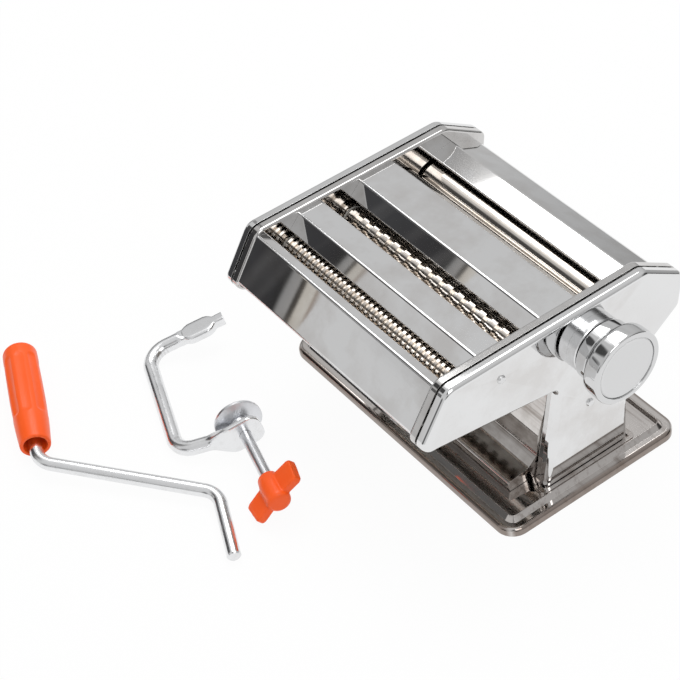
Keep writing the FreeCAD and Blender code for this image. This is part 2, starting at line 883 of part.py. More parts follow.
def chute_cheek(side):
    """The end of the chute's foot, turned down beside the leg."""
    made = doc.addObject("Part::Extrusion", "chute_cheek")
    line = doc.addObject("Sketcher::SketchObject", "chute_cheek_outline")
    line.Placement = Placement(Vector(0, 0, 0), SIDE_VIEW)
    sunk = size("chute_wall") / 2
    draw_outline(line, [
        (-size("chute_lip_front") + 1.0, foot_level),
        (-size("chute_lip_front"), size("chute_lip_height"), 1.0),
        (-size("chute_step_front"), size("chute_step_height") + sunk, chute_round),
        (-size("chute_foot_front") - sunk, size("chute_foot_height"), chute_round),
        (-size("chute_foot_front") - sunk, foot_level),
    ])
    made.Base = line
    made.DirMode = "Custom"
    made.Dir = Vector(side, 0, 0)
    bind(made, "LengthFwd", size("cheek_wall"))
    made.Solid = True
    bind_place(made, (half_gap - size("cheek_wall")) * side)
    return made


guide_chute = doc.addObject("Part::MultiFuse", "guide_chute")
guide_chute.Label = "guide_chute"
guide_chute.Shapes = [chute_sheet, chute_cheek(-1), chute_cheek(1)]
guide_chute.Refine = True
register(guide_chute)


def rear_wall():
    """The flat sheet between the legs at the back, with the hole for the clamp's peg."""
    body = new_body("rear_wall")
    sketch = sketch_on(body, "XZ_Plane", -size("rear_wall_rear"))
    draw_outline(sketch, rectangle(-half_gap, half_gap, size("floor_height"), below_deck("chute_top_drop")))
    feature(body, "Pad", sketch, size("chute_wall"))
    doc.recompute()
    hole = sketch_on(body, "XZ_Plane", -size("rear_wall_rear"))
    draw_circle(hole, 0.0, size("clamp_hole_height"), size("clamp_hole_radius"))
    pocket(body, hole, size("chute_wall"), reverse=True)


rear_wall()


# ---------------------------------------------------------------- base

def base_plate():
    """A pressed sheet base: rounded skirt, sloped step, plateau rim, sunk floor and two leg slots."""
    body = new_body("base_plate")
    half_length, half_width = size("base_length") / 2, size("base_width") / 2
    corner = size("base_corner")

    def loop(inset, height):
        sketch = sketch_on(body, "XY_Plane", height)
        radius = corner - inset if corner.number > as_size(inset).number + 1.0 else as_size(1.0)
        draw_outline(sketch, rectangle(-half_length + inset, half_length - inset,
                                       -half_width + inset, half_width - inset, radius))
        return sketch

    feature(body, "Pad", loop(as_size(0.0), as_size(0.0)), size("skirt_height"))
    round_edges(body, lambda e: lies_at(e, 2, SIZES["skirt_height"]), size("skirt_edge"))
    feature(body, "Pad", loop(size("ledge_width") + size("skirt_edge"), size("skirt_height")),
                   size("plateau_height") - size("skirt_height"), taper=-size("plateau_slope"))
    doc.recompute()
    floor_inset = size("plateau_width")
    pocket(body, loop(floor_inset, size("plateau_height")), size("plateau_height") - size("floor_height"))

    # raised plinths round the leg slots
    slot_front = size("toe_front") + size("slot_clearance")
    slot_rear = size("heel_rear") + size("slot_clearance")
    slot_middle = panel_face - size("panel_depth") / 2
    half_slot = size("panel_depth") / 2 + size("slot_clearance")
    margin = size("plinth_margin")
    plinths = sketch_on(body, "XY_Plane", size("floor_height"))
    slots = sketch_on(body, "XY_Plane", size("floor_height") + size("plinth_rise"))
    for side in (-1, 1):
        middle = slot_middle * side
        near = (flange_outer + size("foot_gap")) * side
        far = middle + size("plinth_width") / 2 * side
        draw_outline(plinths, rectangle(near, far, -slot_front - margin, slot_rear + margin, margin)[::side])
        draw_outline(slots, rectangle(middle - half_slot, middle + half_slot, -slot_front, slot_rear))
    feature(body, "Pad", plinths, size("plinth_rise"))
    pocket(body, slots, size("plinth_rise") + size("leg_sink"))

    # hollow underside
    below = sketch_on(body, "XY_Plane", as_size(0.0))
    wall = size("base_wall")
    draw_outline(below, rectangle(-half_length + wall, half_length - wall,
                                  -half_width + wall, half_width - wall, corner - wall))
    pocket(body, below, size("floor_height") - size("leg_sink"), reverse=True)
    return body


base_plate()


# ---------------------------------------------------------------- rollers

def journalled_body(name, centre, radius, driven):
    """A roller core with its journals; a driven one has a crank socket: a round lead, then a flat."""
    plain = size("journal_radius")
    left_radius = size("drive_journal_radius") if driven else plain
    left_tip = -size("drive_end") if driven else -(size("gear_inner") + size("gear_width"))
    body = turned(name, [
        (left_tip, 0.0), (left_tip, left_radius), (-roller_end, left_radius), (-roller_end, radius),
        (roller_end, radius), (roller_end, plain), (journal_tip, plain), (journal_tip, 0.0),
    ], centre)
    if driven:
        doc.recompute()
        lead = sketch_on(body, "YZ_Plane", left_tip)
        draw_circle(lead, 0.0, 0.0, size("socket_radius"))
        pocket(body, lead, size("socket_lead"), reverse=True)
        drive = sketch_on(body, "YZ_Plane", left_tip)
        draw_flatted_circle(drive, size("socket_drive_radius"), size("socket_flat"))
        pocket(body, drive, size("socket_depth"), reverse=True)
    return body


def ring_count(pitch):
    """How many rings of a pitch fit on a roller."""
    return int(2 * roller_end.number / pitch.number)


def ringed_roller(name, centre, driven, pitch, groove, core, shift):
    """A cutter roller: square rings in a row; one ring less puts it half a pitch out of step."""
    body = journalled_body(name, centre, core, driven)
    doc.recompute()
    ring_width = pitch - groove
    count = ring_count(pitch) - shift
    first = -(pitch * (count - 1)) / 2 - ring_width / 2
    sketch = sketch_on(body, "YZ_Plane", first)
    draw_circle(sketch, 0.0, 0.0, size("ring_radius"))
    ring = feature(body, "Pad", sketch, ring_width)
    doc.recompute()
    pattern(body, ring, (sketch, ["N_Axis"]), pitch * (count - 1), as_size(count))
    return body


journalled_body("smooth_roller_rear", smooth_rear, size("smooth_radius"), True)
journalled_body("smooth_roller_front", smooth_front, size("smooth_radius"), False)
for station, rear, front in (("fine", fine_rear, fine_front), ("wide", wide_rear, wide_front)):
    pitch, groove, core = size(f"{station}_pitch"), size(f"{station}_groove"), size(f"{station}_core")
    ringed_roller(f"{station}_roller_rear", rear, True, pitch, groove, core, 0)
    ringed_roller(f"{station}_roller_front", front, False, pitch, groove, core, 1)


# ---------------------------------------------------------------- gears

def spur_gear(name, centre, teeth, module, bore, turn):
    """A spur gear with straight-flanked teeth about the X axis."""
    body = new_body(name)
    inner = -(size("gear_inner") + size("gear_width"))
    pitch_radius = module * teeth / 2
    tip = pitch_radius + module
    foot = pitch_radius - module * 1.25
    blank = sketch_on(body, "YZ_Plane", inner)
    draw_circle(blank, 0.0, 0.0, foot)
    feature(body, "Pad", blank, size("gear_width"))
    half_pitch = module * (math.pi / 4) - size("tooth_backlash") / 2
    slope = sine(size("tooth_flank")) / cosine(size("tooth_flank"))
    at_tip = half_pitch - slope * module
    at_foot = half_pitch + slope * (module * 1.25)
    tooth = sketch_on(body, "YZ_Plane", inner)
    draw_outline(tooth, [
        (foot - module * 0.5, -at_foot), (foot, -at_foot), (tip, -at_tip),
        (tip, at_tip), (foot, at_foot), (foot - module * 0.5, at_foot),
    ])
    pad = feature(body, "Pad", tooth, size("gear_width"))
    doc.recompute()
    ring_of(body, pad, (blank, ["N_Axis"]), teeth)
    doc.recompute()
    hole = sketch_on(body, "YZ_Plane", inner)
    draw_circle(hole, 0.0, 0.0, bore)
    pocket(body, hole, size("gear_width"), reverse=True)
    bind_place(body, 0.0, centre[0], centre[1], Rotation(Vector(1, 0, 0), turn))
    return body


def gear_pair(prefix, rear, front, teeth, module):
    """Two meshing gears: a tooth of the rear one points into a gap of the front one."""
    toward = math.degrees(math.atan2(front[1].number - rear[1].number, front[0].number - rear[0].number))
    step = 360.0 / teeth.number
    spur_gear(f"{prefix}_gear_rear", rear, teeth, module, size("drive_journal_radius"), toward)
    spur_gear(f"{prefix}_gear_front", front, teeth, module, size("journal_radius"), toward + 180.0 + step / 2)


cutter_module = size("cutter_spacing") / size("cutter_teeth")
gear_pair("fine", fine_rear, fine_front, size("cutter_teeth"), cutter_module)
gear_pair("wide", wide_rear, wide_front, size("cutter_teeth"), cutter_module)
gear_pair("smooth", smooth_rear, smooth_front, size("smooth_teeth"), size("smooth_module"))


# ---------------------------------------------------------------- bushes, tie rods, screws

def bush(name, side, y, z, journal):
    """A flanged bush pressed into a side plate from outside."""
    bore = journal + size("running_gap")
    barrel = bore + size("bush_wall")
    flange = bore + size("bush_flange_wall")
    inner, seat = half_gap, plate_outer
    outer = seat + size("bush_flange")
    ends = [(inner, bore), (inner, barrel), (seat, barrel), (seat, flange), (outer, flange), (outer, bore)]
    made = doc.addObject("Sketcher::SketchObject", f"{name}_profile")
    made.Placement = Placement(Vector(0, 0, 0), Rotation(Vector(1, 0, 0), 90))
    draw_outline(made, [(axial * side, radial) for axial, radial in ends])
    spin = doc.addObject("Part::Revolution", name)
    spin.Source = made
    spin.Axis = Vector(1, 0, 0)
    spin.Base = Vector(0, 0, 0)
    spin.Angle = 360.0
    spin.Solid = True
    bind_place(spin, 0.0, y, z)
    return spin


left_bushes = [bush("left_bush", -1, y, z, size("drive_journal_radius")) for y, z in FIXED_DRIVEN]
left_bushes += [bush("left_bush", -1, y, z, size("journal_radius")) for y, z in FIXED_PLAIN]
group("roller_bushes_left", left_bushes)
group("roller_bushes_right",
      [bush("right_bush", 1, y, z, size("journal_radius")) for y, z in FIXED_DRIVEN + FIXED_PLAIN])


def tie_rods():
    members = []
    for index, (y, z) in enumerate(TIE_RODS):
        reach = panel_back if index == 1 else plate_outer + size("nut_wall") + 0.6
        members.append(tube_along_x("tie_rod", -reach, reach, size("rod_radius"), None, y, z))
    group("tie_rods", members)


def tie_rod_nuts():
    """A hexagon nut outside each plate on every tie rod."""
    members = []
    for y, z in TIE_RODS:
        for side in (-1, 1):
            prism = doc.addObject("Part::Prism", "nut_body")
            prism.Polygon = 6
            bind(prism, "Circumradius", size("nut_flats") / math.sqrt(3))
            bind(prism, "Height", size("nut_wall"))
            start = plate_outer if side > 0 else -plate_outer - size("nut_wall")
            bind_place(prism, start, y, z, Rotation(Vector(0, 1, 0), 90))
            hole = tube_along_x("nut_bore", start, start + size("nut_wall"), size("rod_radius"), None, y, z)
            nut = doc.addObject("Part::Cut", "nut")
            nut.Base = prism
            nut.Tool = hole
            members.append(nut)
    group("tie_rod_nuts", members)


def panel_screws(name, y, z, reach_in):
    """A round headed screw through each outer panel."""
    members = []
    for side in (-1, 1):
        head_out = panel_face + size("screw_head")
        sketch = doc.addObject("Sketcher::SketchObject", f"{name}_profile")
        sketch.Placement = Placement(Vector(0, 0, 0), Rotation(Vector(1, 0, 0), 90))
        draw_outline(sketch, [
            (reach_in * side, 0.0), (reach_in * side, size("leg_screw_radius")),
            (panel_face * side, size("leg_screw_radius")), (panel_face * side, size("screw_head_radius")),
            (head_out * side, size("screw_head_radius") - 0.7), (head_out * side, 0.0),
        ])
        spin = doc.addObject("Part::Revolution", f"{name}_turned")
        spin.Source = sketch
        spin.Axis = Vector(1, 0, 0)
        spin.Base = Vector(0, 0, 0)
        spin.Angle = 360.0
        spin.Solid = True
        bind_place(spin, 0.0, y, z)
        members.append(spin)
    group(name, members)


tie_rods()
tie_rod_nuts()
panel_screws("panel_screws", rod_screw[0], rod_screw[1], panel_back)
panel_screws("leg_screws", size("leg_screw_y"), below_deck("leg_screw_drop"), half_gap)


# ---------------------------------------------------------------- combs and scrapers

def comb(name, centre, side, pitch, groove, core, shift):
    """A strip under a cutter roller whose teeth reach into its grooves."""
    body = new_body(name)
    drop = size("comb_drop")
    level = centre[1] - drop
    ring = size("ring_radius") + size("comb_root_gap")
    reach = root(ring * ring - (drop - size("comb_wall")) * (drop - size("comb_wall")))
    inner = core + size("comb_root_gap")
    bite = root(inner * inner - (drop - size("comb_wall")) * (drop - size("comb_wall")))
    edge = centre[0] + reach * side
    outer = edge + size("comb_depth") * side
    strip = sketch_on(body, "XY_Plane", level)
    draw_outline(strip, rectangle(-half_gap, half_gap, *((edge, outer) if side > 0 else (outer, edge))))
    feature(body, "Pad", strip, size("comb_wall"), reverse=False)
    doc.recompute()
    count = ring_count(pitch) - shift - 1
    tooth_width = groove - size("comb_tooth_gap") * 2
    start = -(pitch * (count - 1)) / 2 - tooth_width / 2
    tip = centre[0] + bite * side
    teeth = sketch_on(body, "XY_Plane", level)
    root_line = edge + 0.5 * side
    draw_outline(teeth, rectangle(start, start + tooth_width, *((tip, root_line) if side > 0 else (root_line, tip))))
    tooth = feature(body, "Pad", teeth, size("comb_wall"))
    doc.recompute()
    pattern(body, tooth, (teeth, ["H_Axis"]), pitch * (count - 1), as_size(count))
    return body


for station, rear, front in (("fine", fine_rear, fine_front), ("wide", wide_rear, wide_front)):
    pitch, groove, core = size(f"{station}_pitch"), size(f"{station}_groove"), size(f"{station}_core")
    comb(f"{station}_comb_rear", rear, 1, pitch, groove, core, 0)
    comb(f"{station}_comb_front", front, -1, pitch, groove, core, 1)


def scraper(name, centre, side, clear):
    """A straight blade under a smooth roller that lifts the dough off it."""
    blade = doc.addObject("Part::Box", name)
    blade.Label = name
    bind(blade, "Length", size("plate_gap"))
    bind(blade, "Width", size("scraper_width"))
    bind(blade, "Height", size("comb_wall"))
    inner = centre[0] + clear * side
    start = inner if side > 0 else inner - size("scraper_width")
    bind_place(blade, -half_gap, start, centre[1] - size("smooth_radius") - size("comb_wall") - 0.4)
    return register(blade)


scraper("smooth_scraper_rear", smooth_rear, 1, as_size(0.5))


# ---------------------------------------------------------------- yoke

def yoke_side(name, side):
    """The sliding plate that carries one end of the front smooth roller."""
    body = new_body(name)
    near = plate_outer + size("yoke_gap")
    front, rear, low, high = size("yoke_front"), -size("yoke_rear"), -size("yoke_low"), size("yoke_high")
    corners = [(rear, low), (front * 0.9, low), (front, high / 5), (front, high), (front / 2, high), (rear, high / 2)]
    sketch = sketch_on(body, "YZ_Plane", near * side)
    draw_outline(sketch, [from_front_roller(along, across) + (size("yoke_round"),) for along, across in corners])
    feature(body, "Pad", sketch, size("yoke_wall"), reverse=side < 0)
    doc.recompute()
    holes = sketch_on(body, "YZ_Plane", near * side)
    draw_circle(holes, smooth_front[0], smooth_front[1], size("journal_radius") + size("running_gap"))
    draw_circle(holes, yoke_bar[0], yoke_bar[1], size("yoke_bar_radius"))
    if side > 0:
        draw_circle(holes, scroll_pin[0], scroll_pin[1], size("scroll_pin_radius"))
    for stud in (front_stud, rear_stud):
        draw_slot(holes, stud[0], stud[1], open_y, open_z,
                  size("yoke_travel") + size("slot_gap"), size("slot_gap"),
                  size("stud_radius") + size("yoke_gap"))
    pocket(body, holes, size("yoke_wall"), reverse=side > 0)
    return body


yoke_side("yoke_plate_left", -1)
yoke_side("yoke_plate_right", 1)
yoke_end = plate_outer + size("yoke_gap") + size("yoke_wall")
bar = tube_along_x("yoke_bar", -yoke_end, yoke_end, size("yoke_bar_radius"), None, *yoke_bar)
bar.Label = "yoke_bar"
register(bar)
pin = tube_along_x("scroll_pin", yoke_end - size("yoke_wall"), size("scroll_inner") + size("scroll_wall"),
                   size("scroll_pin_radius"), None, *scroll_pin)
pin.Label = "scroll_pin"
register(pin)


def guide_studs():
    """Headed studs in the side plates that guide the yoke's slots."""
    members = []
    head_in = yoke_end + size("yoke_gap")
    for side in (-1, 1):
        for y, z in (front_stud, rear_stud):
            sketch = doc.addObject("Sketcher::SketchObject", "stud_profile")
            sketch.Placement = Placement(Vector(0, 0, 0), Rotation(Vector(1, 0, 0), 90))
            head_out = head_in + size("stud_head")
            draw_outline(sketch, [
                (half_gap * side, 0.0), (half_gap * side, size("stud_radius")),
                (head_in * side, size("stud_radius")), (head_in * side, size("stud_head_radius")),
                (head_out * side, size("stud_head_radius")), (head_out * side, 0.0),
            ])
            spin = doc.addObject("Part::Revolution", "guide_stud")
            spin.Source = sketch
            spin.Axis = Vector(1, 0, 0)
            spin.Base = Vector(0, 0, 0)
            spin.Angle = 360.0
            spin.Solid = True
            bind_place(spin, 0.0, y, z)
            members.append(spin)
    group("guide_studs", members)


guide_studs()


# ---------------------------------------------------------------- regulator

def scroll_disc():
    """A disc with a spiral slot: turning it moves the yoke's pin evenly outwards."""
    disc = tube_along_x("scroll_blank", size("scroll_inner"), size("scroll_inner") + size("scroll_wall"),
                        size("scroll_radius"), size("journal_radius"), 0.0, 0.0)
    spare = size("scroll_spare")
    start = size("scroll_start") - size("scroll_growth") * spare / 360.0
    half_width = size("scroll_pin_radius") + size("scroll_pin_gap")
    edges = []
    for offset in (-half_width, half_width):
        spiral = doc.addObject("Part::Spiral", "scroll_line")
        bind(spiral, "Growth", size("scroll_growth"))
        bind(spiral, "Radius", start + offset)
        bind(spiral, "Rotations", (size("scroll_sweep") + spare * 2) / 360.0)
        doc.recompute()
        edges.append(spiral.Shape.Edges[0])
    inner, outer = edges
    ends = [Part.makeLine(inner.valueAt(at), outer.valueAt(at2))
            for at, at2 in zip(inner.ParameterRange, outer.ParameterRange)]
    band = doc.addObject("Part::Feature", "scroll_band")
    band.Shape = Part.Face(Part.Wire(Part.__sortEdges__([inner, ends[1], outer, ends[0]])))
    cutter = doc.addObject("Part::Extrusion", "scroll_cutter")
    cutter.Base = band
    cutter.DirMode = "Custom"
    cutter.Dir = Vector(0, 0, 1)
    bind(cutter, "LengthFwd", size("scroll_wall") + 2.0)
    cutter.Solid = True
    toward = Vector(0, open_y.number, open_z.number)
    down = Vector(-1, 0, 0)
    frame = Matrix()
    for column, axis in enumerate((toward, down.cross(toward), down)):
        frame_column = (axis.x, axis.y, axis.z)
        for line in range(3):
            setattr(frame, f"A{line + 1}{column + 1}", frame_column[line])
    facing = Rotation(frame)
    back = Rotation(Vector(0, 0, 1), -spare.number)
    bind_place(cutter, size("scroll_inner") + size("scroll_wall") + 1.0, 0.0, 0.0, facing.multiply(back))
    made = doc.addObject("Part::Cut", "scroll_disc")
    made.Label = "scroll_disc"
    made.Base = disc
    made.Tool = cutter
    bind_place(made, 0.0, regulator[0], regulator[1])
    return register(made)


scroll_disc()


boss_end = panel_face + size("boss_length")
knob_inner = boss_end + size("knob_gap")
shaft_tip = knob_inner + size("shaft_reach")
drum_end = knob_inner + size("drum_length")
waist_end = drum_end + size("waist_length")
cap_end = waist_end + size("cap_length")
index_centre = (regulator[0] + size("index_circle"), regulator[1])


def regulator_shaft():
    """The knob's shaft, flatted where the knob slides on it."""
    body = turned("regulator_shaft", [
        (size("scroll_inner"), 0.0), (size("scroll_inner"), size("journal_radius")),
        (shaft_tip, size("journal_radius")), (shaft_tip, 0.0),
    ], regulator)
    doc.recompute()
    flat = sketch_on(body, "YZ_Plane", shaft_tip)
    outside = size("journal_radius") + 1.0
    draw_outline(flat, rectangle(-outside, outside, size("shaft_flat"), outside))
    pocket(body, flat, size("shaft_reach"))


regulator_shaft()
bearing = size("journal_radius") + size("running_gap")


def regulator_bush():
    """The shaft's bearing in the right panel, with a boss whose face carries the index holes."""
    barrel = size("journal_radius") + size("bush_wall")
    start = size("scroll_inner") + size("scroll_wall") + 0.4
    radius, bevel = size("boss_radius"), size("knob_bevel") / 2
    body = turned("regulator_bush", [
        (start, bearing), (start, barrel), (panel_face, barrel), (panel_face, radius),
        (boss_end - bevel, radius), (boss_end, radius - bevel), (boss_end, bearing),
    ], regulator)
    doc.recompute()
    holes = sketch_on(body, "YZ_Plane", boss_end)
    for step in range(SIZES["index_holes"]):
        angle = size("scroll_sweep") / (size("index_holes") - 1) * step
        draw_circle(holes, cosine(angle) * size("index_circle"), sine(angle) * size("index_circle"),
                    size("index_radius"))
    pocket(body, holes, size("index_depth"))


regulator_bush()


def knob_drum():
    """The knob's shell: drum, waist and flared cap rim, hollow in front for the spring."""
    ledge, bevel = knob_inner + size("knob_floor"), size("knob_bevel")
    drum, waist, cap = size("drum_radius"), size("waist_radius"), size("cap_radius")
    disc_seat = cap_end - size("cap_disc_recess") - size("cap_disc_wall")
    body = turned("knob_drum", [
        (knob_inner, 0.0), (knob_inner, drum - bevel / 2), (knob_inner + bevel / 2, drum),
        (drum_end - bevel / 2, drum), (drum_end, drum - bevel / 2), (drum_end + bevel / 2, waist),
        (waist_end - bevel, waist), (waist_end, cap - bevel), (waist_end + bevel, cap),
        (cap_end - bevel, cap), (cap_end, cap - bevel),
        (cap_end, size("cap_disc_radius")), (disc_seat, size("cap_disc_radius")),
        (disc_seat, size("spring_cavity")), (ledge, size("spring_cavity")), (ledge, 0.0),
    ], regulator)
    doc.recompute()
    hole = sketch_on(body, "YZ_Plane", knob_inner)
    draw_flatted_circle(hole, bearing, size("shaft_flat") + size("running_gap"))
    pocket(body, hole, ledge - knob_inner, reverse=True)
    nib = sketch_on(body, "YZ_Plane", knob_inner)
    draw_circle(nib, size("index_circle"), 0.0, size("nib_radius"))
    pocket(body, nib, size("index_depth"), reverse=True)


knob_drum()
disc_face = cap_end - size("cap_disc_recess")
turned("knob_cap", [
    (disc_face - size("cap_disc_wall"), 0.0), (disc_face - size("cap_disc_wall"), size("cap_disc_radius")),
    (disc_face - 0.4, size("cap_disc_radius")), (disc_face, size("cap_disc_radius") - 0.4), (disc_face, 0.0),
], regulator)
nib_tip = boss_end + size("nib_gap")
nib_root = knob_inner + size("index_depth")
turned("index_nib", [
    (nib_tip, 0.0), (nib_tip, size("nib_radius") * 0.6), (nib_tip + 0.4, size("nib_radius")),
    (nib_root, size("nib_radius")), (nib_root, 0.0),
], index_centre)
keeper_outer = shaft_tip + size("keeper_wall")
turned("knob_keeper", [
    (shaft_tip, 0.0), (shaft_tip, size("keeper_radius")), (keeper_outer, size("keeper_radius")),
    (keeper_outer, 3.0), (keeper_outer + 1.4, 3.0), (keeper_outer + 2.0, 2.4), (keeper_outer + 2.0, 0.0),
], regulator)


# ---------------------------------------------------------------- crank

# The crank lies on the table on the drive leg's end and the fattest part of its grip.
crank_rise = (SIZES["grip_radius"] - SIZES["crank_rod_radius"]) / (
    SIZES["crank_drive_leg"] + SIZES["crank_arm"] * math.cos(math.radians(SIZES["crank_bend"]))
    + SIZES["grip_start"] + SIZES["grip_length"] / 2)
crank_turn = Rotation(Vector(0, 0, 1), SIZES["crank_heading"]).multiply(
    Rotation(Vector(0, 1, 0), math.degrees(math.asin(crank_rise))))
crank_place = (size("crank_end_x"), size("crank_end_y"), size("crank_rod_radius") + 0.3)
elbow = (-size("crank_drive_leg"), as_size(0.0))
shoulder = (elbow[0] - cosine(size("crank_bend")) * size("crank_arm"),
            -sine(size("crank_bend")) * size("crank_arm"))
grip_mouth = shoulder[0] - size("grip_start")
grip_top = grip_mouth - size("grip_length")
rod_tip = grip_top + size("grip_cap_wall")


def crank_rod():
    """A round rod bent twice, with a flat at the drive end."""
    body = new_body("crank_rod")
    path = sketch_on(body, "XY_Plane")
    bend_radius = size("crank_round")
    draw_outline(path, [(0.0, 0.0), elbow + (bend_radius,), shoulder + (bend_radius,),
                        (rod_tip, shoulder[1])], closed=False)
    ring = sketch_on(body, "YZ_Plane")
    draw_circle(ring, 0.0, 0.0, size("crank_rod_radius"))
    doc.recompute()
    pipe = body.newObject("PartDesign::AdditivePipe", "crank_rod_pipe")
    pipe.Profile = ring
    pipe.Spine = path
    body.Tip = pipe
    doc.recompute()
    bevel = body.newObject("PartDesign::Chamfer", "crank_rod_bevel")
    bevel.Base = (pipe, edge_names(pipe.Shape, lambda e: lies_at(e, 0, 0.0)))
    bevel.Size = 0.8
    body.Tip = bevel
    doc.recompute()
    flat = sketch_on(body, "YZ_Plane")
    outside = size("crank_rod_radius") + 1.0
    draw_outline(flat, rectangle(-outside, outside, -outside, -(size("socket_flat") - size("crank_clearance"))))
    pocket(body, flat, size("crank_flat_length"))
    bind_place(body, *crank_place, rotation=crank_turn)
    return body


crank_rod()


def crank_grip():
    """A crowned plastic grip with shallow flutes and a stepped bore."""
    body = new_body("crank_grip")
    sketch = sketch_on(body, "XY_Plane")
    fat = grip_mouth - size("grip_length") / 2
    bore = size("crank_rod_radius") + size("grip_bore_gap")
    line = shoulder[1]
    draw_outline(sketch, [
        (grip_mouth, line + size("grip_mouth_bore")), (grip_mouth, line + size("grip_mouth_radius")),
        (fat, line + size("grip_radius")), (grip_top, line + size("grip_top_radius"), size("grip_dome")),
        (grip_top, line), (rod_tip - 0.4, line), (rod_tip - 0.4, line + bore),
        (grip_mouth - size("grip_mouth_depth"), line + bore),
        (grip_mouth - size("grip_mouth_depth"), line + size("grip_mouth_bore")),
    ])
    # the grip's own axis lies on the line b = shoulder
    axis = sketch.addGeometry(Part.LineSegment(Vector(grip_top.number, line.number, 0),
                                               Vector(grip_mouth.number, line.number, 0)), True)
    fix_point(sketch, axis, 1, grip_top, line)
    fix_point(sketch, axis, 2, grip_mouth, line)
    doc.recompute()
    made = body.newObject("PartDesign::Revolution", "crank_grip_revolution")
    made.Profile = sketch
    made.ReferenceAxis = (sketch, ["Axis0"])
    made.Angle = 360.0
    body.Tip = made
    doc.recompute()
    cut = sketch_on(body, "YZ_Plane", grip_top + size("grip_dome") + 6.0)
    draw_circle(cut, line, size("grip_radius") + size("flute_radius") - size("flute_depth"), size("flute_radius"))
    groove = pocket(body, cut, size("flute_length"), reverse=True)
    ring_of(body, groove, (sketch, ["Axis0"]), size("flute_count"))
    bind_place(body, *crank_place, rotation=crank_turn)
    return body


crank_grip()


def grip_clip():
    """The spring washer on the rod that keeps the grip on."""
    body = new_body("grip_clip")
    start = grip_mouth - size("grip_mouth_depth") + 0.3
    sketch = sketch_on(body, "YZ_Plane", start)
    draw_circle(sketch, shoulder[1], 0.0, size("clip_radius"))
    draw_circle(sketch, shoulder[1], 0.0, size("crank_rod_radius"))
    feature(body, "Pad", sketch, size("clip_wall"))
    bind_place(body, *crank_place, rotation=crank_turn)


grip_clip()


# ---------------------------------------------------------------- clamp

clamp_turn = Rotation(Vector(0, 0, 1), SIZES["clamp_heading"]).multiply(
    Rotation(Vector(1, 0, 0), SIZES["clamp_tilt"]))
clamp_place = (size("clamp_corner_x"), size("clamp_corner_y"), size("clamp_rod_radius") + 0.1)
tongue_centre = (size("clamp_splay"), size("clamp_reach"))
screw_turn = Rotation(Vector(0, 0, 1), SIZES["screw_axis_angle"])


def clamp_frame():
    """A rod bent to a C: a drilled flat tongue at one end, a pressed coin and a square peg at the other."""
    rod_radius = size("clamp_rod_radius")
    body = new_body("clamp_frame")
    path = sketch_on(body, "XY_Plane")
    arm_length = root(size("clamp_splay") * size("clamp_splay") + size("clamp_reach") * size("clamp_reach"))
    near_share = (arm_length - size("tongue_length") * 0.62) / arm_length
    arm_end = (tongue_centre[0] * near_share, tongue_centre[1] * near_share)
    top_end = size("coin_centre") - size("coin_length") / 2 + 1.5
    draw_outline(path, [
        (-size("clamp_leg"), top_end), (-size("clamp_leg"), 0.0, size("clamp_round")),
        (0.0, 0.0, size("clamp_round")), arm_end,
    ], closed=False)
    ring = sketch_on(body, "XZ_Plane", -top_end)
    draw_circle(ring, -size("clamp_leg"), 0.0, rod_radius)
    doc.recompute()
    pipe = body.newObject("PartDesign::AdditivePipe", "clamp_frame_pipe")
    pipe.Profile = ring
    pipe.Spine = path
    body.Tip = pipe
    doc.recompute()

    # pressed coin and square peg in line with the upper arm
    coin = sketch_on(body, "XY_Plane")
    low, high = size("coin_centre") - size("coin_length") / 2, size("coin_centre") + size("coin_length") / 2
    half_coin = size("coin_width") / 2
    draw_outline(coin, rectangle(-size("clamp_leg") - half_coin, -size("clamp_leg") + half_coin,
                                 low, high, half_coin - 0.4))
    feature(body, "Pad", coin, size("coin_wall"), symmetric=True)
    doc.recompute()
    peg = sketch_on(body, "XZ_Plane", -(high - 2.0))
    half_peg = size("peg_flats") / 2
    draw_outline(peg, rectangle(-size("clamp_leg") - half_peg, -size("clamp_leg") + half_peg,
                                -half_peg, half_peg, 0.6))
    feature(body, "Pad", peg, size("peg_end") - high + 2.0, reverse=True)
    doc.recompute()

    # flat tongue across the screw's axis
    tongue = body.newObject("Sketcher::SketchObject", "clamp_tongue_sketch")
    plane = [item for item in body.Origin.OriginFeatures if item.Role == "YZ_Plane"][0]
    tongue.AttachmentSupport = [(plane, "")]
    tongue.MapMode = "FlatFace"
    turn = Rotation(Vector(0, 1, 0), SIZES["screw_axis_angle"])
    tongue.AttachmentOffset = Placement(
        Vector(tongue_centre[1].number, 0, tongue_centre[0].number), turn)
    tongue.setExpression("AttachmentOffset.Base.x", tongue_centre[1].text)
    tongue.setExpression("AttachmentOffset.Base.z", tongue_centre[0].text)
    half_width = size("tongue_width") / 2
    draw_outline(tongue, [
        (-size("tongue_length") * 0.75, -rod_radius * 0.85, 3.0), (-size("tongue_length") * 0.35, -half_width, 6.0),
        (size("tongue_length") * 0.42, -half_width, 7.0), (size("tongue_length") * 0.42, half_width, 7.0),
        (-size("tongue_length") * 0.35, half_width, 6.0), (-size("tongue_length") * 0.75, rod_radius * 0.85, 3.0),
    ])
    feature(body, "Pad", tongue, size("tongue_wall"), symmetric=True)
    doc.recompute()
    hole = body.newObject("Sketcher::SketchObject", "clamp_hole_sketch")
    hole.AttachmentSupport = [(plane, "")]
    hole.MapMode = "FlatFace"
    hole.AttachmentOffset = tongue.AttachmentOffset
    hole.setExpression("AttachmentOffset.Base.x", tongue_centre[1].text)
    hole.setExpression("AttachmentOffset.Base.z", tongue_centre[0].text)
    draw_circle(hole, 0.0, 0.0, size("screw_radius") + size("screw_tongue_gap"))
    pocket(body, hole, size("tongue_wall") * 3, symmetric=True)
    bind_place(body, *clamp_place, rotation=clamp_turn)
    return body


clamp_frame()


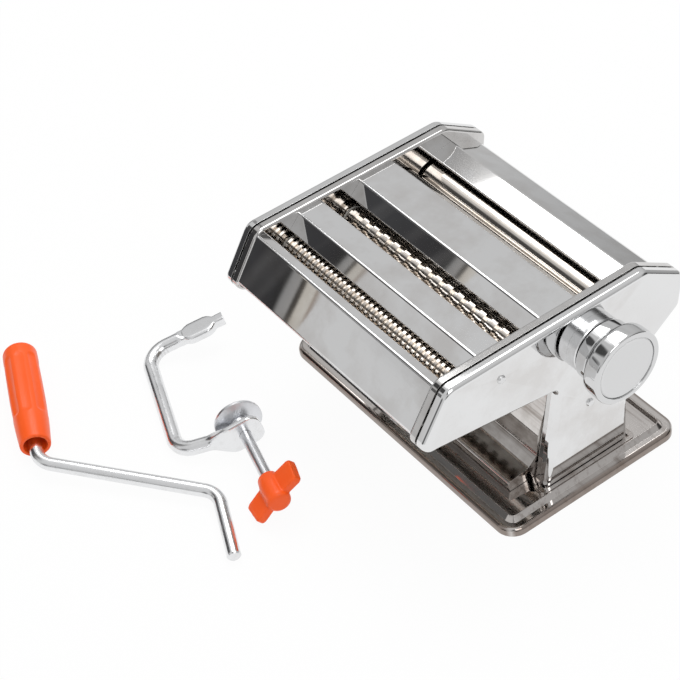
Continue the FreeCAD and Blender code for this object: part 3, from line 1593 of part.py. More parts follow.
def on_screw_axis(body, roll=0.0):
    """Put a body that is built about its own X axis on the clamp screw's axis."""
    turn = clamp_turn.multiply(screw_turn).multiply(Rotation(Vector(1, 0, 0), roll))
    side, ahead = clamp_turn.multVec(Vector(1, 0, 0)), clamp_turn.multVec(Vector(0, 1, 0))
    x, y, z = [
        start + tongue_centre[0] * along + tongue_centre[1] * across
        for start, along, across in zip(clamp_place, side, ahead)
    ]
    bind_place(body, x, y, z, turn)
    return body


pad_face = -size("screw_pad_offset") - size("pad_cup") / 2
pad_back = pad_face + size("pad_wall")
on_screw_axis(turned("clamp_pad", [
    (pad_face + size("pad_cup"), 0.0), (pad_face + size("pad_cup"), 4.0),
    (pad_face, size("pad_radius") - 1.2), (pad_face, size("pad_radius")),
    (pad_back, size("pad_radius")), (pad_back + size("pad_cup"), size("pad_boss_radius") + 1.0),
    (pad_back + size("pad_cup"), size("pad_boss_radius")),
    (pad_back + size("pad_cup") + size("pad_boss"), size("pad_boss_radius") - 0.8),
    (pad_back + size("pad_cup") + size("pad_boss"), size("screw_radius") + 0.1),
    (pad_back + size("pad_cup"), size("screw_radius") + 0.1), (pad_back + size("pad_cup"), 0.0),
]))
screw_start = pad_back + size("pad_cup") + 0.1
hub_start = size("screw_hub_offset")
on_screw_axis(turned("clamp_screw", [
    (screw_start, 0.0), (screw_start, size("screw_radius")),
    (hub_start + 14.0, size("screw_radius")), (hub_start + 14.0, 0.0),
]))


def wing_knob():
    """The clamp screw's plastic knob with two wings."""
    body = new_body("clamp_wing_knob")
    hub = size("wing_hub_radius")
    sketch = sketch_on(body, "XZ_Plane")
    end = hub_start + size("wing_hub_length")
    draw_outline(sketch, [
        (hub_start, size("screw_radius")), (hub_start, hub - 1.0), (hub_start + 6.0, hub),
        (end - 2.0, hub), (end, hub - 1.5), (end, 0.0), (hub_start + 14.0, 0.0),
        (hub_start + 14.0, size("screw_radius")),
    ])
    made = body.newObject("PartDesign::Revolution", "clamp_wing_knob_revolution")
    made.Profile = sketch
    made.ReferenceAxis = (sketch, ["H_Axis"])
    made.Angle = 360.0
    body.Tip = made
    doc.recompute()
    half_span, chord = size("wing_span") / 2, size("wing_chord")
    start = hub_start + 3.0
    for side in (-1, 1):
        wing = sketch_on(body, "XZ_Plane")
        inner = (hub - 2.0) * side
        tip = half_span * side
        draw_outline(wing, [
            (start, inner), (start + 1.5, tip, 2.0), (start + 1.5 + chord, tip, 2.0), (start + chord, inner),
        ])
        feature(body, "Pad", wing, size("wing_wall"), symmetric=True)
        doc.recompute()
    return body


on_screw_axis(wing_knob(), SIZES["wing_roll"] + 90.0)


# ---------------------------------------------------------------- check and export

doc.recompute()
for item in doc.Objects:
    if "Invalid" in item.State or "Error" in item.State:
        raise RuntimeError(f"{item.Label} did not build: {item.State}")
os.makedirs("parts", exist_ok=True)
for node in NODES:
    shape = node.Shape
    if shape.isNull() or not shape.isValid() or not shape.Solids:
        raise RuntimeError(f"{node.Label} has no valid solid")
    shape.exportStep(f"parts/{node.Label}.step")
    print(f"{node.Label}: {len(shape.Solids)} solid(s), {shape.Volume:.1f} mm3")
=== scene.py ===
"""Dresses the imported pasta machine, its loose crank and its table clamp for a studio picture.

Lengths of the object's own pieces are in millimetres, and those of finishes and the studio are in metres.
Meshes are made in metres, in the frame's axes.
"""

import json
import logging
import math
from dataclasses import dataclass
from enum import Enum
from typing import Optional, Sequence, Union

import bpy
import numpy as np
from mathutils import Matrix, Vector

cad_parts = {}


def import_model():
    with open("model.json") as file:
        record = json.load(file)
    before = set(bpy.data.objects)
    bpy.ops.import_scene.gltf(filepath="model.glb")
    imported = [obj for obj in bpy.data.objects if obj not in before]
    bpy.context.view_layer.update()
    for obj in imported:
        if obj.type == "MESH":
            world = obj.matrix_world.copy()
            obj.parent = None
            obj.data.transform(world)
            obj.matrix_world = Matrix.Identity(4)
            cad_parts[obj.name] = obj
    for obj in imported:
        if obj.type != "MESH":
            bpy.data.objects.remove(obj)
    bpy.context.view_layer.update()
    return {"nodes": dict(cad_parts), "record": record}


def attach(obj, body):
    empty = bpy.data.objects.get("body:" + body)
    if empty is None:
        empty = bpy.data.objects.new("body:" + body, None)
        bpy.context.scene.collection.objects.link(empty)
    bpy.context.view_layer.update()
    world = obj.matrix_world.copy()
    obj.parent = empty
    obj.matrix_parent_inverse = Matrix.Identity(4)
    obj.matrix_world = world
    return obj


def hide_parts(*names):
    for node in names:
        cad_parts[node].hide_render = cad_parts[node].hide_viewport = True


logging.basicConfig(level=logging.INFO, format="%(name)s: %(message)s")
LOG = logging.getLogger("pasta_machine")

MM = 0.001
SMOOTH_ANGLE = math.radians(32.0)
WHITE = (1.0, 1.0, 1.0)

# What a node's input takes: a plain value, a colour or vector, or another node's output.
Feed = Union[float, tuple, bpy.types.NodeSocket]
# One number for a whole path, or one for each of its points.
Spread = Union[float, Sequence[float], np.ndarray]


# ---------------------------------------------------------------------------
# Finishes
# ---------------------------------------------------------------------------

class Slot(Enum):
    """Material slots of the record."""

    CHROME = "chromed_steel"
    ROLLER = "nickelled_roller"
    PLASTIC = "orange_plastic"
    GEAR = "gear_steel"
    ACETAL = "white_acetal"
    ZINC = "zinc_plated_steel"


class Look(Enum):
    """How a surface is finished. Each slot has a look of its own name, and some nodes have their own, some of
    which carry painted shade and painted reflection in their colour.
    """

    CHROME = "chromed_steel"
    ROLLER = "nickelled_roller"
    PLASTIC = "orange_plastic"
    GEAR = "gear_steel"
    ACETAL = "white_acetal"
    ZINC = "zinc_plated_steel"
    TRAY = "chromed_tray"
    INSIDE = "chromed_inside"
    PLATE = "chromed_plate"
    DISC = "chromed_disc"
    SATIN = "zinc_plated_satin"
    CUTTER = "nickelled_cutter"


OWN_LOOKS = {
    "base_plate": Look.TRAY,
    "guide_chute": Look.INSIDE,
    "rear_wall": Look.PLATE,
    "inner_plate_left": Look.PLATE,
    "inner_plate_right": Look.PLATE,
    "clamp_pad": Look.SATIN,
    "clamp_screw": Look.SATIN,
    "knob_cap_pressed": Look.DISC,
    # The drum takes the darker disc chrome as painted dark reflection.
    "knob_drum_turned": Look.DISC,
    "knob_cap": Look.DISC,
    "wide_roller_rear": Look.CUTTER,
    "wide_roller_front": Look.CUTTER,
    "fine_roller_rear": Look.CUTTER,
    "fine_roller_front": Look.CUTTER,
}


@dataclass(frozen=True)
class Finish:
    """How one finish looks.

    Attributes:
        color: Linear base colour.
        streak_color: Linear colour in streaks and on edges with wear. On the tray, the chute and the cutters
            its dark brown streaks are painted shade and painted reflection.
        roughness: Roughness of a clean patch.
        spread: How much the roughness varies between patches.
        streaks: How strongly the streak colour shows in streaks.
        grain: Scale of the finest detail, in features per metre.
        bump: Strength of the fine relief.
        metallic: 0 for plastics, 1 for metals.
        wave: Strength of the broad waviness of pressed sheet.
        stretch: How much longer than wide the grain is along X.
        edge: Radius that softens sharp edges.
        coat: Weight of a clear coat.
        shine: Specular level.
    """

    color: tuple
    streak_color: tuple
    roughness: float
    spread: float
    streaks: float
    grain: float
    bump: float
    metallic: float = 1.0
    wave: float = 0.0
    stretch: float = 1.0
    edge: float = 0.0003
    coat: float = 0.0
    shine: float = 0.5


FINISHES = {
    Look.CHROME: Finish(color=(0.755, 0.757, 0.76), streak_color=(0.60, 0.58, 0.565), roughness=0.03, spread=0.02,
                        streaks=0.05, grain=700.0, bump=0.010, wave=0.13, stretch=6.0, edge=0.00025),
    # Tray: its tone, darker than the chrome, and its dark brown streaks are painted shade and painted
    # reflection from under the machine.
    Look.TRAY: Finish(color=(0.60, 0.57, 0.55), streak_color=(0.17, 0.125, 0.10), roughness=0.05, spread=0.03,
                      streaks=0.85, grain=500.0, bump=0.02, wave=0.4, stretch=14.0),
    # Chute: a darker chrome whose dark brown streaks are painted shade and painted reflection inside the
    # machine.
    Look.INSIDE: Finish(color=(0.63, 0.605, 0.585), streak_color=(0.16, 0.125, 0.10), roughness=0.06, spread=0.02,
                        streaks=0.9, grain=500.0, bump=0.02, wave=0.3, stretch=30.0),
    Look.PLATE: Finish(color=(0.62, 0.612, 0.605), streak_color=(0.35, 0.33, 0.31), roughness=0.05, spread=0.04,
                       streaks=0.3, grain=700.0, bump=0.015, wave=0.3, stretch=6.0, edge=0.00025),
    # A darker chrome. On the knob's drum it is painted dark reflection.
    Look.DISC: Finish(color=(0.66, 0.662, 0.665), streak_color=(0.56, 0.55, 0.54), roughness=0.05, spread=0.03,
                      streaks=0.05, grain=700.0, bump=0.012, wave=0.1, edge=0.00025),
    Look.ROLLER: Finish(color=(0.69, 0.65, 0.605), streak_color=(0.33, 0.27, 0.22), roughness=0.08, spread=0.06,
                        streaks=0.3, grain=1400.0, bump=0.03, stretch=8.0, edge=0.00015),
    # Cutters: the dark brown streaks stand partly for the rings' knurled grain and partly for painted shade
    # and painted reflection.
    Look.CUTTER: Finish(color=(0.71, 0.665, 0.615), streak_color=(0.28, 0.22, 0.17), roughness=0.10, spread=0.08,
                        streaks=0.65, grain=1400.0, bump=0.06, stretch=0.2, edge=0.00012),
    Look.PLASTIC: Finish(color=(1.0, 0.115, 0.012), streak_color=(1.0, 0.19, 0.05), roughness=0.30, spread=0.14,
                         streaks=0.15, grain=1600.0, bump=0.05, metallic=0.0, edge=0.0002, coat=0.05,
                         shine=0.32),
    Look.GEAR: Finish(color=(0.30, 0.29, 0.28), streak_color=(0.48, 0.46, 0.43), roughness=0.34, spread=0.2,
                      streaks=0.3, grain=900.0, bump=0.1),
    Look.ACETAL: Finish(color=(0.78, 0.78, 0.75), streak_color=(0.70, 0.68, 0.62), roughness=0.45, spread=0.1,
                        streaks=0.3, grain=1200.0, bump=0.04, metallic=0.0),
    Look.ZINC: Finish(color=(0.82, 0.825, 0.835), streak_color=(0.52, 0.51, 0.50), roughness=0.16, spread=0.12,
                      streaks=0.3, grain=900.0, bump=0.05),
    Look.SATIN: Finish(color=(0.76, 0.77, 0.795), streak_color=(0.58, 0.58, 0.58), roughness=0.27, spread=0.10,
                       streaks=0.2, grain=1100.0, bump=0.05),
}


@dataclass(frozen=True)
class RimReflection:
    """The painted brown reflection on the outer slope of the pressed tray's rim.

    Attributes:
        half_box: Half length and half width of the box inside which the tray stays bright.
        fade: How far past that box the rim reaches its full colour.
        weight: How much of the rim's colour shows there.
        color: Linear colour of the rim.
    """

    half_box: tuple = (0.0982, 0.0587)
    fade: float = 0.0016
    weight: float = 0.8
    color: tuple = (0.20, 0.155, 0.13)


@dataclass(frozen=True)
class Detail:
    """The shared surface detail.

    Attributes:
        patch_scale: Patches per metre.
        streak_scale: Streaks per metre, before the stretch.
        wave_scale: Broad waves per metre.
        wave_height: Height of the broad waves.
        grain_height: Height of the finest grain.
        edge_range: Pointiness at which wear starts and is full.
        wear_range: Part of the patches' noise over which an edge's wear comes in.
        patch_range: Part of the noise that the patches use.
        streak_range: Part of the noise that the streaks use.
        coat_roughness: Roughness of the clear coat.
        wear_weight: How much of the streak colour shows on an edge with wear.
    """

    patch_scale: float = 38.0
    streak_scale: float = 160.0
    wave_scale: float = 17.0
    wave_height: float = 0.0005
    grain_height: float = 0.0002
    edge_range: tuple = (0.52, 0.62)
    wear_range: tuple = (0.42, 0.66)
    patch_range: tuple = (0.36, 0.68)
    streak_range: tuple = (0.5, 0.78)
    coat_roughness: float = 0.12
    wear_weight: float = 0.6


DETAIL = Detail()


class Nodes:
    """Short hand for building a node tree."""

    def __init__(self, tree: bpy.types.NodeTree) -> None:
        """Work on one node tree."""
        self.tree = tree

    def add(self, kind: str, settings: Optional[dict] = None, **inputs: Feed) -> bpy.types.Node:
        """Add a node.

        Args:
            kind: The node's bl_idname.
            settings: Properties of the node itself.
            inputs: Values or output sockets by input name, spaces as underscores.

        Returns:
            The new node.
        """
        node = self.tree.nodes.new(kind)
        for name, value in (settings or {}).items():
            setattr(node, name, value)
        for name, value in inputs.items():
            self.feed(node.inputs[name.replace("_", " ")], value)
        return node

    def feed(self, target: bpy.types.NodeSocket, value: Feed) -> None:
        """Link an output to an input socket, or set the input's own value.

        Args:
            target: The input socket.
            value: An output, a colour without its alpha, or the input's plain value.
        """
        if isinstance(value, bpy.types.NodeSocket):
            self.tree.links.new(value, target)
        elif isinstance(value, tuple) and len(value) == 3 and target.type == "RGBA":
            target.default_value = (*value, 1.0)
        else:
            target.default_value = value

    def call(self, kind: str, operation: str, *values: Feed) -> bpy.types.NodeSocket:
        """Add a Math or Vector Math node by operation.

        Args:
            kind: "ShaderNodeMath" or "ShaderNodeVectorMath".
            operation: The node's operation.
            values: Numbers or sockets for its inputs, in order.

        Returns:
            The first output, or the Value output of a dot product.
        """
        node = self.add(kind, {"operation": operation})
        for target, value in zip(node.inputs, values):
            self.feed(target, value)
        return node.outputs["Value"] if operation == "DOT_PRODUCT" else node.outputs[0]

    def math(self, operation: str, *values: Feed) -> bpy.types.NodeSocket:
        """Add a Math node and give its output."""
        return self.call("ShaderNodeMath", operation, *values)

    def vector(self, operation: str, *values: Feed) -> bpy.types.NodeSocket:
        """Add a Vector Math node and give its output."""
        return self.call("ShaderNodeVectorMath", operation, *values)

    def remap(self, value: Feed, low: float, high: float, to_low: float = 0.0,
              to_high: float = 1.0) -> bpy.types.NodeSocket:
        """Map a value from one range to another, clamped."""
        return self.add("ShaderNodeMapRange", {"clamp": True}, Value=value, From_Min=low, From_Max=high,
                        To_Min=to_low, To_Max=to_high).outputs["Result"]

    def mix(self, factor: Feed, first: Feed, second: Feed) -> bpy.types.NodeSocket:
        """Mix two colours.

        Args:
            factor: How much of the second colour shows.
            first: The first colour.
            second: The second colour.

        Returns:
            The mixed colour.
        """
        node = self.add("ShaderNodeMix", {"data_type": "RGBA"})
        for index, value in ((0, factor), (6, first), (7, second)):
            self.feed(node.inputs[index], value)
        return node.outputs[2]

    def blend(self, factor: Feed, first: bpy.types.Node, second: bpy.types.Node) -> bpy.types.Node:
        """Mix two shaders.

        Args:
            factor: How much of the second shader shows.
            first: The first shader's node.
            second: The second shader's node.

        Returns:
            The mixing node.
        """
        node = self.add("ShaderNodeMixShader")
        for target, value in zip(node.inputs, (factor, first.outputs[0], second.outputs[0])):
            self.feed(target, value)
        return node

    def noise(self, place: Feed, scale: Feed, detail: float, roughness: float) -> bpy.types.NodeSocket:
        """Add a noise texture and give its factor."""
        return self.add("ShaderNodeTexNoise", Vector=place, Scale=scale, Detail=detail,
                        Roughness=roughness).outputs["Fac"]

    def relief(self, strength: Feed, distance: float, height: Feed, normal: Feed) -> bpy.types.NodeSocket:
        """Add a Bump node and give its normal."""
        return self.add("ShaderNodeBump", Strength=strength, Distance=distance, Height=height,
                        Normal=normal).outputs[0]

    def place(self) -> bpy.types.NodeSocket:
        """The shaded point on Object coordinates."""
        return self.add("ShaderNodeTexCoord").outputs["Object"]

    def split(self, vector: Feed) -> bpy.types.NodeOutputs:
        """Split a vector into outputs named X, Y and Z."""
        return self.add("ShaderNodeSeparateXYZ", Vector=vector).outputs

    def grey(self, level: Feed) -> bpy.types.NodeSocket:
        """Turn a level into a grey colour."""
        return self.add("ShaderNodeCombineColor", Red=level, Green=level, Blue=level).outputs[0]

    def glow(self, color: Feed) -> bpy.types.Node:
        """Add a light of a colour, at a strength of one."""
        return self.add("ShaderNodeEmission", Color=color, Strength=1.0)

    def show(self, shader: bpy.types.Node) -> None:
        """Make a shader the material's surface."""
        self.add("ShaderNodeOutputMaterial", Surface=shader.outputs[0])

    def ramp(self, factor: Feed, stops: Sequence[tuple]) -> bpy.types.NodeSocket:
        """Add a colour ramp, which starts with a stop at each end.

        Args:
            factor: The place on the ramp.
            stops: Positions and their colours, in order.

        Returns:
            The colour at that place.
        """
        node = self.add("ShaderNodeValToRGB", Fac=factor)
        elements = node.color_ramp.elements
        for stop, (position, color) in zip(elements, (stops[0], stops[-1])):
            stop.position = position
            stop.color = (*color, 1.0)
        for position, color in stops[1:-1]:
            elements.new(position).color = (*color, 1.0)
        return node.outputs["Color"]


def blank_material(name: str) -> tuple[bpy.types.Material, Nodes]:
    """Make a material whose node tree is still empty.

    Args:
        name: Name of the material.

    Returns:
        The material, and the helper that fills its tree.
    """
    material = bpy.data.materials.new(name)
    material.use_nodes = True
    material.node_tree.nodes.clear()
    return material, Nodes(material.node_tree)


def surface_group() -> bpy.types.NodeTree:
    """The shared node group that gives every finish its wear, patches, streaks and relief.

    Returns:
        A node group with Grain, Stretch, Bump, Wave and Edge in, and Wear, Patch, Streak and Normal out.
    """
    group = bpy.data.node_groups.new("surface_detail", "ShaderNodeTree")
    defaults = {"Grain": 1000.0, "Stretch": 1.0, "Bump": 0.05, "Wave": 0.0, "Edge": 0.0003}
    for name, default in defaults.items():
        socket = group.interface.new_socket(name=name, in_out="INPUT", socket_type="NodeSocketFloat")
        socket.default_value = default
    for name in ("Wear", "Patch", "Streak"):
        group.interface.new_socket(name=name, in_out="OUTPUT", socket_type="NodeSocketFloat")
    group.interface.new_socket(name="Normal", in_out="OUTPUT", socket_type="NodeSocketVector")
    n = Nodes(group)
    inside = n.add("NodeGroupInput").outputs
    place = n.place()
    along = n.math("DIVIDE", 1.0, inside["Stretch"])
    stretched = n.vector("MULTIPLY", place, n.add("ShaderNodeCombineXYZ", X=along, Y=1.0, Z=1.0).outputs[0])
    fine = n.noise(stretched, inside["Grain"], detail=3.0, roughness=0.6)
    patch = n.noise(place, DETAIL.patch_scale, detail=4.0, roughness=0.62)
    streaked = n.noise(stretched, DETAIL.streak_scale, detail=5.0, roughness=0.7)
    broad = n.noise(place, DETAIL.wave_scale, detail=1.0, roughness=0.4)
    pointed = n.remap(n.add("ShaderNodeNewGeometry").outputs["Pointiness"], *DETAIL.edge_range)
    eased = n.add("ShaderNodeBevel", {"samples": 4}, Radius=inside["Edge"]).outputs[0]
    rolled = n.relief(inside["Wave"], DETAIL.wave_height, broad, eased)
    n.add("NodeGroupOutput",
          Wear=n.math("MULTIPLY", pointed, n.remap(patch, *DETAIL.wear_range)),
          Patch=n.remap(patch, *DETAIL.patch_range),
          Streak=n.remap(streaked, *DETAIL.streak_range),
          Normal=n.relief(inside["Bump"], DETAIL.grain_height, fine, rolled))
    return group


def smoothing_group() -> bpy.types.NodeTree:
    """A geometry node group that shades faces smooth and keeps edges over the smooth angle sharp.

    Returns:
        The node group.
    """
    group = bpy.data.node_groups.new("smooth_by_angle", "GeometryNodeTree")
    group.is_modifier = True
    for way in ("INPUT", "OUTPUT"):
        group.interface.new_socket(name="Geometry", in_out=way, socket_type="NodeSocketGeometry")
    n = Nodes(group)
    mesh = n.add("NodeGroupInput").outputs[0]
    angle = n.add("GeometryNodeInputMeshEdgeAngle").outputs["Unsigned Angle"]
    compare = n.add("FunctionNodeCompare", {"data_type": "FLOAT", "operation": "GREATER_THAN"})
    n.feed(compare.inputs[0], angle)
    n.feed(compare.inputs[1], SMOOTH_ANGLE)
    faces = n.add("GeometryNodeSetShadeSmooth", {"domain": "FACE"}, Geometry=mesh)
    edges = n.add("GeometryNodeSetShadeSmooth", {"domain": "EDGE"}, Geometry=faces.outputs[0],
                  Selection=compare.outputs[0], Shade_Smooth=False)
    n.add("NodeGroupOutput", Geometry=edges.outputs[0])
    return group


class Finisher:
    """Makes each material once and hands it out by look."""

    def __init__(self) -> None:
        """Make the two shared node groups."""
        self.detail = surface_group()
        self.smooth = smoothing_group()
        self.made = {}

    def material(self, look: Look) -> bpy.types.Material:
        """The material of a look, built when it is first asked for.

        Args:
            look: The look.

        Returns:
            Its material.
        """
        if look not in self.made:
            self.made[look] = self.build(look, FINISHES[look])
        return self.made[look]

    def build(self, look: Look, finish: Finish) -> bpy.types.Material:
        """Build one material from its finish.

        Args:
            look: The look, which names the material.
            finish: Its values.

        Returns:
            The material.
        """
        material, n = blank_material(look.value)
        detail = n.add("ShaderNodeGroup", {"node_tree": self.detail}, Grain=finish.grain,
                       Stretch=finish.stretch, Bump=finish.bump, Wave=finish.wave, Edge=finish.edge).outputs
        # Streaks of the second colour. On the tray, the chute and the cutters they are painted shade and
        # painted reflection.
        streaked = n.mix(n.math("MULTIPLY", detail["Streak"], finish.streaks), finish.color, finish.streak_color)
        color = n.mix(n.math("MULTIPLY", detail["Wear"], DETAIL.wear_weight), streaked, finish.streak_color)
        # The tray's brown outer slope is a painted reflection.
        if look is Look.TRAY:
            color = self.painted_rim_reflection(n, color, RimReflection())
        roughness = n.remap(detail["Patch"], 0.0, 1.0, finish.roughness, finish.roughness + finish.spread)
        shader = n.add("ShaderNodeBsdfPrincipled", Base_Color=color, Metallic=finish.metallic,
                       Roughness=roughness, Normal=detail["Normal"], Coat_Weight=finish.coat,
                       Coat_Roughness=DETAIL.coat_roughness, Specular_IOR_Level=finish.shine)
        n.show(shader)
        return material

    @staticmethod
    def painted_rim_reflection(n: Nodes, color: Feed, rim_reflection: RimReflection) -> bpy.types.NodeSocket:
        """Paint a brown reflection on the tray's outer slope: the mask is how far a point lies past a box
        round the tray's middle.

        Args:
            n: The material's node helper.
            color: The colour inside the rim.
            rim_reflection: The values of the rim's painted reflection.

        Returns:
            The colour with the painted brown reflection on its rim.
        """
        axes = n.split(n.place())
        past_x, past_y = (n.math("SUBTRACT", n.math("ABSOLUTE", axes[name]), half)
                          for name, half in zip("XY", rim_reflection.half_box))
        mask = n.remap(n.math("MAXIMUM", past_x, past_y), 0.0, rim_reflection.fade, 0.0, rim_reflection.weight)
        return n.mix(mask, color, rim_reflection.color)

    def dress(self, piece: bpy.types.Object, slot: Slot) -> None:
        """Give a piece its own look or its slot's, and smooth shading with sharp edges kept.

        Args:
            piece: The piece or carried-over node.
            slot: Its material slot.
        """
        look = OWN_LOOKS.get(piece.name, Look(slot.value))
        piece.data.materials.clear()
        piece.data.materials.append(self.material(look))
        piece.modifiers.new("smooth", "NODES").node_group = self.smooth
        LOG.info("%s: %s", piece.name, look.value)


# ---------------------------------------------------------------------------
# Parametric surfaces
# ---------------------------------------------------------------------------

def turn(axis: str, degrees: float) -> np.ndarray:
    """A 4 by 4 rotation about X, Y or Z."""
    return np.array(Matrix.Rotation(math.radians(degrees), 4, axis))


def shift(x: float, y: float, z: float) -> np.ndarray:
    """A 4 by 4 translation."""
    return np.array(Matrix.Translation((x, y, z)))
# Dress the frame, add the modelled pieces and set the studio.


def unit(vectors: np.ndarray) -> np.ndarray:
    """Vectors along the last axis, each divided by its length."""
    return vectors / np.linalg.norm(vectors, axis=-1, keepdims=True)


def smooth_step(value: Spread, low: float, high: float) -> np.ndarray:
    """0 below low, 1 above high, and 3 t squared less 2 t cubed between."""
    t = np.clip((np.asarray(value, float) - low) / (high - low), 0.0, 1.0)
    return t * t * (3 - 2 * t)


def soften(profile: Sequence, setbacks: Spread, steps: int = 7) -> np.ndarray:
    """Round the inner corners of an open line, each by a parabola that touches both of its runs.

    Args:
        profile: Points of the line, two numbers each.
        setbacks: How far from each inner corner its curve starts, one number or one per corner.
        steps: Points on each curve.

    Returns:
        The softened line, as an array of points.
    """
    points = np.asarray(profile, float)
    corner = points[1:-1]
    reach = np.broadcast_to(np.asarray(setbacks, float), (len(corner),))[:, None]
    start = corner + unit(points[:-2] - corner) * reach
    end = corner + unit(points[2:] - corner) * reach
    t = np.linspace(0.0, 1.0, steps)[None, :, None]
    curve = (1 - t) ** 2 * start[:, None] + 2 * t * (1 - t) * corner[:, None] + t ** 2 * end[:, None]
    line = np.concatenate([points[:1], curve.reshape(-1, 2), points[-1:]])
    apart = np.linalg.norm(np.diff(line, axis=0), axis=1) > 1e-6
    return line[np.concatenate([[True], apart])]


def revolve(profile: np.ndarray, segments: int) -> np.ndarray:
    """Turn a line about X: a point (x, r) becomes (x, r times cosine, r times sine) of each angle.

    Args:
        profile: Points of the line, x and radius.
        segments: Points round the circle.

    Returns:
        A grid of points: one row for each profile point, one column for each segment.
    """
    angle = np.linspace(0.0, 2 * np.pi, segments, endpoint=False)[None, :]
    x = np.repeat(profile[:, :1], segments, axis=1)
    return np.stack([x, profile[:, 1:] * np.cos(angle), profile[:, 1:] * np.sin(angle)], axis=-1)


def grid_mesh(name: str, grid: np.ndarray, place: np.ndarray, loop: bool = False) -> bpy.types.Mesh:
    """Mesh a grid whose columns close on themselves.

    Each cell is a four-sided face, and a fan of triangles closes an open end. The triple products of all the
    triangles' corners add up to six times the enclosed volume, and a negative sum turns the faces round.

    Args:
        name: Name of the mesh.
        grid: Points in millimetres, rows by columns by three.
        place: 4 by 4 matrix into the frame, in millimetres.
        loop: True if the last row joins the first; otherwise both ends are capped.

    Returns:
        A closed mesh in metres, its normals outward.
    """
    rows, columns, _ = grid.shape
    row = np.arange(rows if loop else rows - 1)[:, None]
    column = np.arange(columns)[None, :]
    near, far = row * columns, (row + 1) % rows * columns
    beside = (column + 1) % columns
    quads = np.stack([near + column, near + beside, far + beside, far + column], axis=-1).reshape(-1, 4)
    points = grid.reshape(-1, 3)
    fans = np.empty((0, 3), int)
    if not loop:
        first, last = len(points), len(points) + 1
        points = np.concatenate([points, grid[:1].mean(axis=1), grid[-1:].mean(axis=1)])
        column, beside, end = column[0], beside[0], (rows - 1) * columns
        fans = np.concatenate([
            np.stack([np.full(columns, first), beside, column], axis=-1),
            np.stack([np.full(columns, last), end + column, end + beside], axis=-1),
        ])
    triangles = np.concatenate([quads[:, [0, 1, 2]], quads[:, [0, 2, 3]], fans])
    a, b, c = (points[triangles[:, k]] for k in range(3))
    if np.einsum("ij,ij->", a, np.cross(b, c)) < 0:
        quads, fans = quads[:, ::-1], fans[:, ::-1]
    points = (points @ place[:3, :3].T + place[:3, 3]) * MM
    mesh = bpy.data.meshes.new(name)
    mesh.vertices.add(len(points))
    mesh.vertices.foreach_set("co", points.astype(np.float32).ravel())
    corners = np.concatenate([quads.ravel(), fans.ravel()]).astype(np.int32)
    mesh.loops.add(len(corners))
    mesh.loops.foreach_set("vertex_index", corners)
    starts = np.concatenate([np.arange(len(quads)) * 4, len(quads) * 4 + np.arange(len(fans)) * 3])
    mesh.polygons.add(len(starts))
    mesh.polygons.foreach_set("loop_start", starts.astype(np.int32))
    mesh.update(calc_edges=True)
    mesh.validate()
    return mesh


def plane_path(corners: Sequence, rounds: Sequence, spacing: float = 1.2) -> np.ndarray:
    """A path of straight runs and true arcs in the XY plane, at an even spacing.

    An arc's centre lies on the line that halves its corner, at the radius over the sine of half its angle.

    Args:
        corners: The path's corner points.
        rounds: The arc's radius at each inner corner.
        spacing: Distance between points.

    Returns:
        Points along the path, two numbers each.
    """
    points = np.asarray(corners, float)
    pieces = [points[:1]]
    for before, corner, after, radius in zip(points[:-2], points[1:-1], points[2:], rounds):
        u, v = unit(before - corner), unit(after - corner)
        half = math.acos(float(np.clip(u @ v, -1, 1))) / 2
        middle = corner + unit(u + v) * radius / math.sin(half)
        start = corner + u * radius / math.tan(half) - middle
        sweep_angle = (math.pi - 2 * half) * math.copysign(1.0, float(-u[0] * v[1] + u[1] * v[0]))
        t = np.linspace(0.0, sweep_angle, 24)
        arc = np.stack([start[0] * np.cos(t) - start[1] * np.sin(t),
                        start[0] * np.sin(t) + start[1] * np.cos(t)], axis=-1)
        pieces.append(middle + arc)
    rough = np.concatenate(pieces + [points[-1:]])
    along = np.concatenate([[0.0], np.cumsum(np.linalg.norm(np.diff(rough, axis=0), axis=1))])
    even = np.linspace(0.0, along[-1], max(2, int(along[-1] / spacing)))
    stations = np.union1d(even, along)
    return np.stack([np.interp(stations, along, rough[:, k]) for k in range(2)], axis=-1)


def sweep(path: np.ndarray, across: Spread, above: Spread, segments: int, power: Spread = 2.0) -> np.ndarray:
    """Sweep a superellipse along a path in the XY plane.

    On the section, the half width's and the half height's shares, each to the power, add up to one.

    Args:
        path: Points of the path, two numbers each.
        across: Half width in the plane.
        above: Half height along Z.
        segments: Points round the section.
        power: 2 is an ellipse, and more is squarer.

    Returns:
        A grid of points, one row for each path point.
    """
    ahead = unit(np.gradient(path, axis=0))
    side = np.stack([-ahead[:, 1], ahead[:, 0]], axis=-1)[:, None, :]
    angle = np.linspace(0.0, 2 * np.pi, segments, endpoint=False)[None, :]
    across, above, power = (np.broadcast_to(np.asarray(values, float), (len(path),))[:, None]
                            for values in (across, above, power))
    u = across * np.sign(np.cos(angle)) * np.abs(np.cos(angle)) ** (2 / power)
    w = above * np.sign(np.sin(angle)) * np.abs(np.sin(angle)) ** (2 / power)
    flat = path[:, None, :] + side * u[..., None]
    return np.concatenate([flat, w[..., None]], axis=-1)


# ---------------------------------------------------------------------------
# Pieces that stand for CAD nodes
# ---------------------------------------------------------------------------

def put(name: str, data: bpy.types.ID) -> bpy.types.Object:
    """Make an object of a mesh, a lamp or a camera, and put it in the scene.

    Args:
        name: Name of the object.
        data: What it shows.

    Returns:
        The object.
    """
    made = bpy.data.objects.new(name, data)
    bpy.context.scene.collection.objects.link(made)
    return made


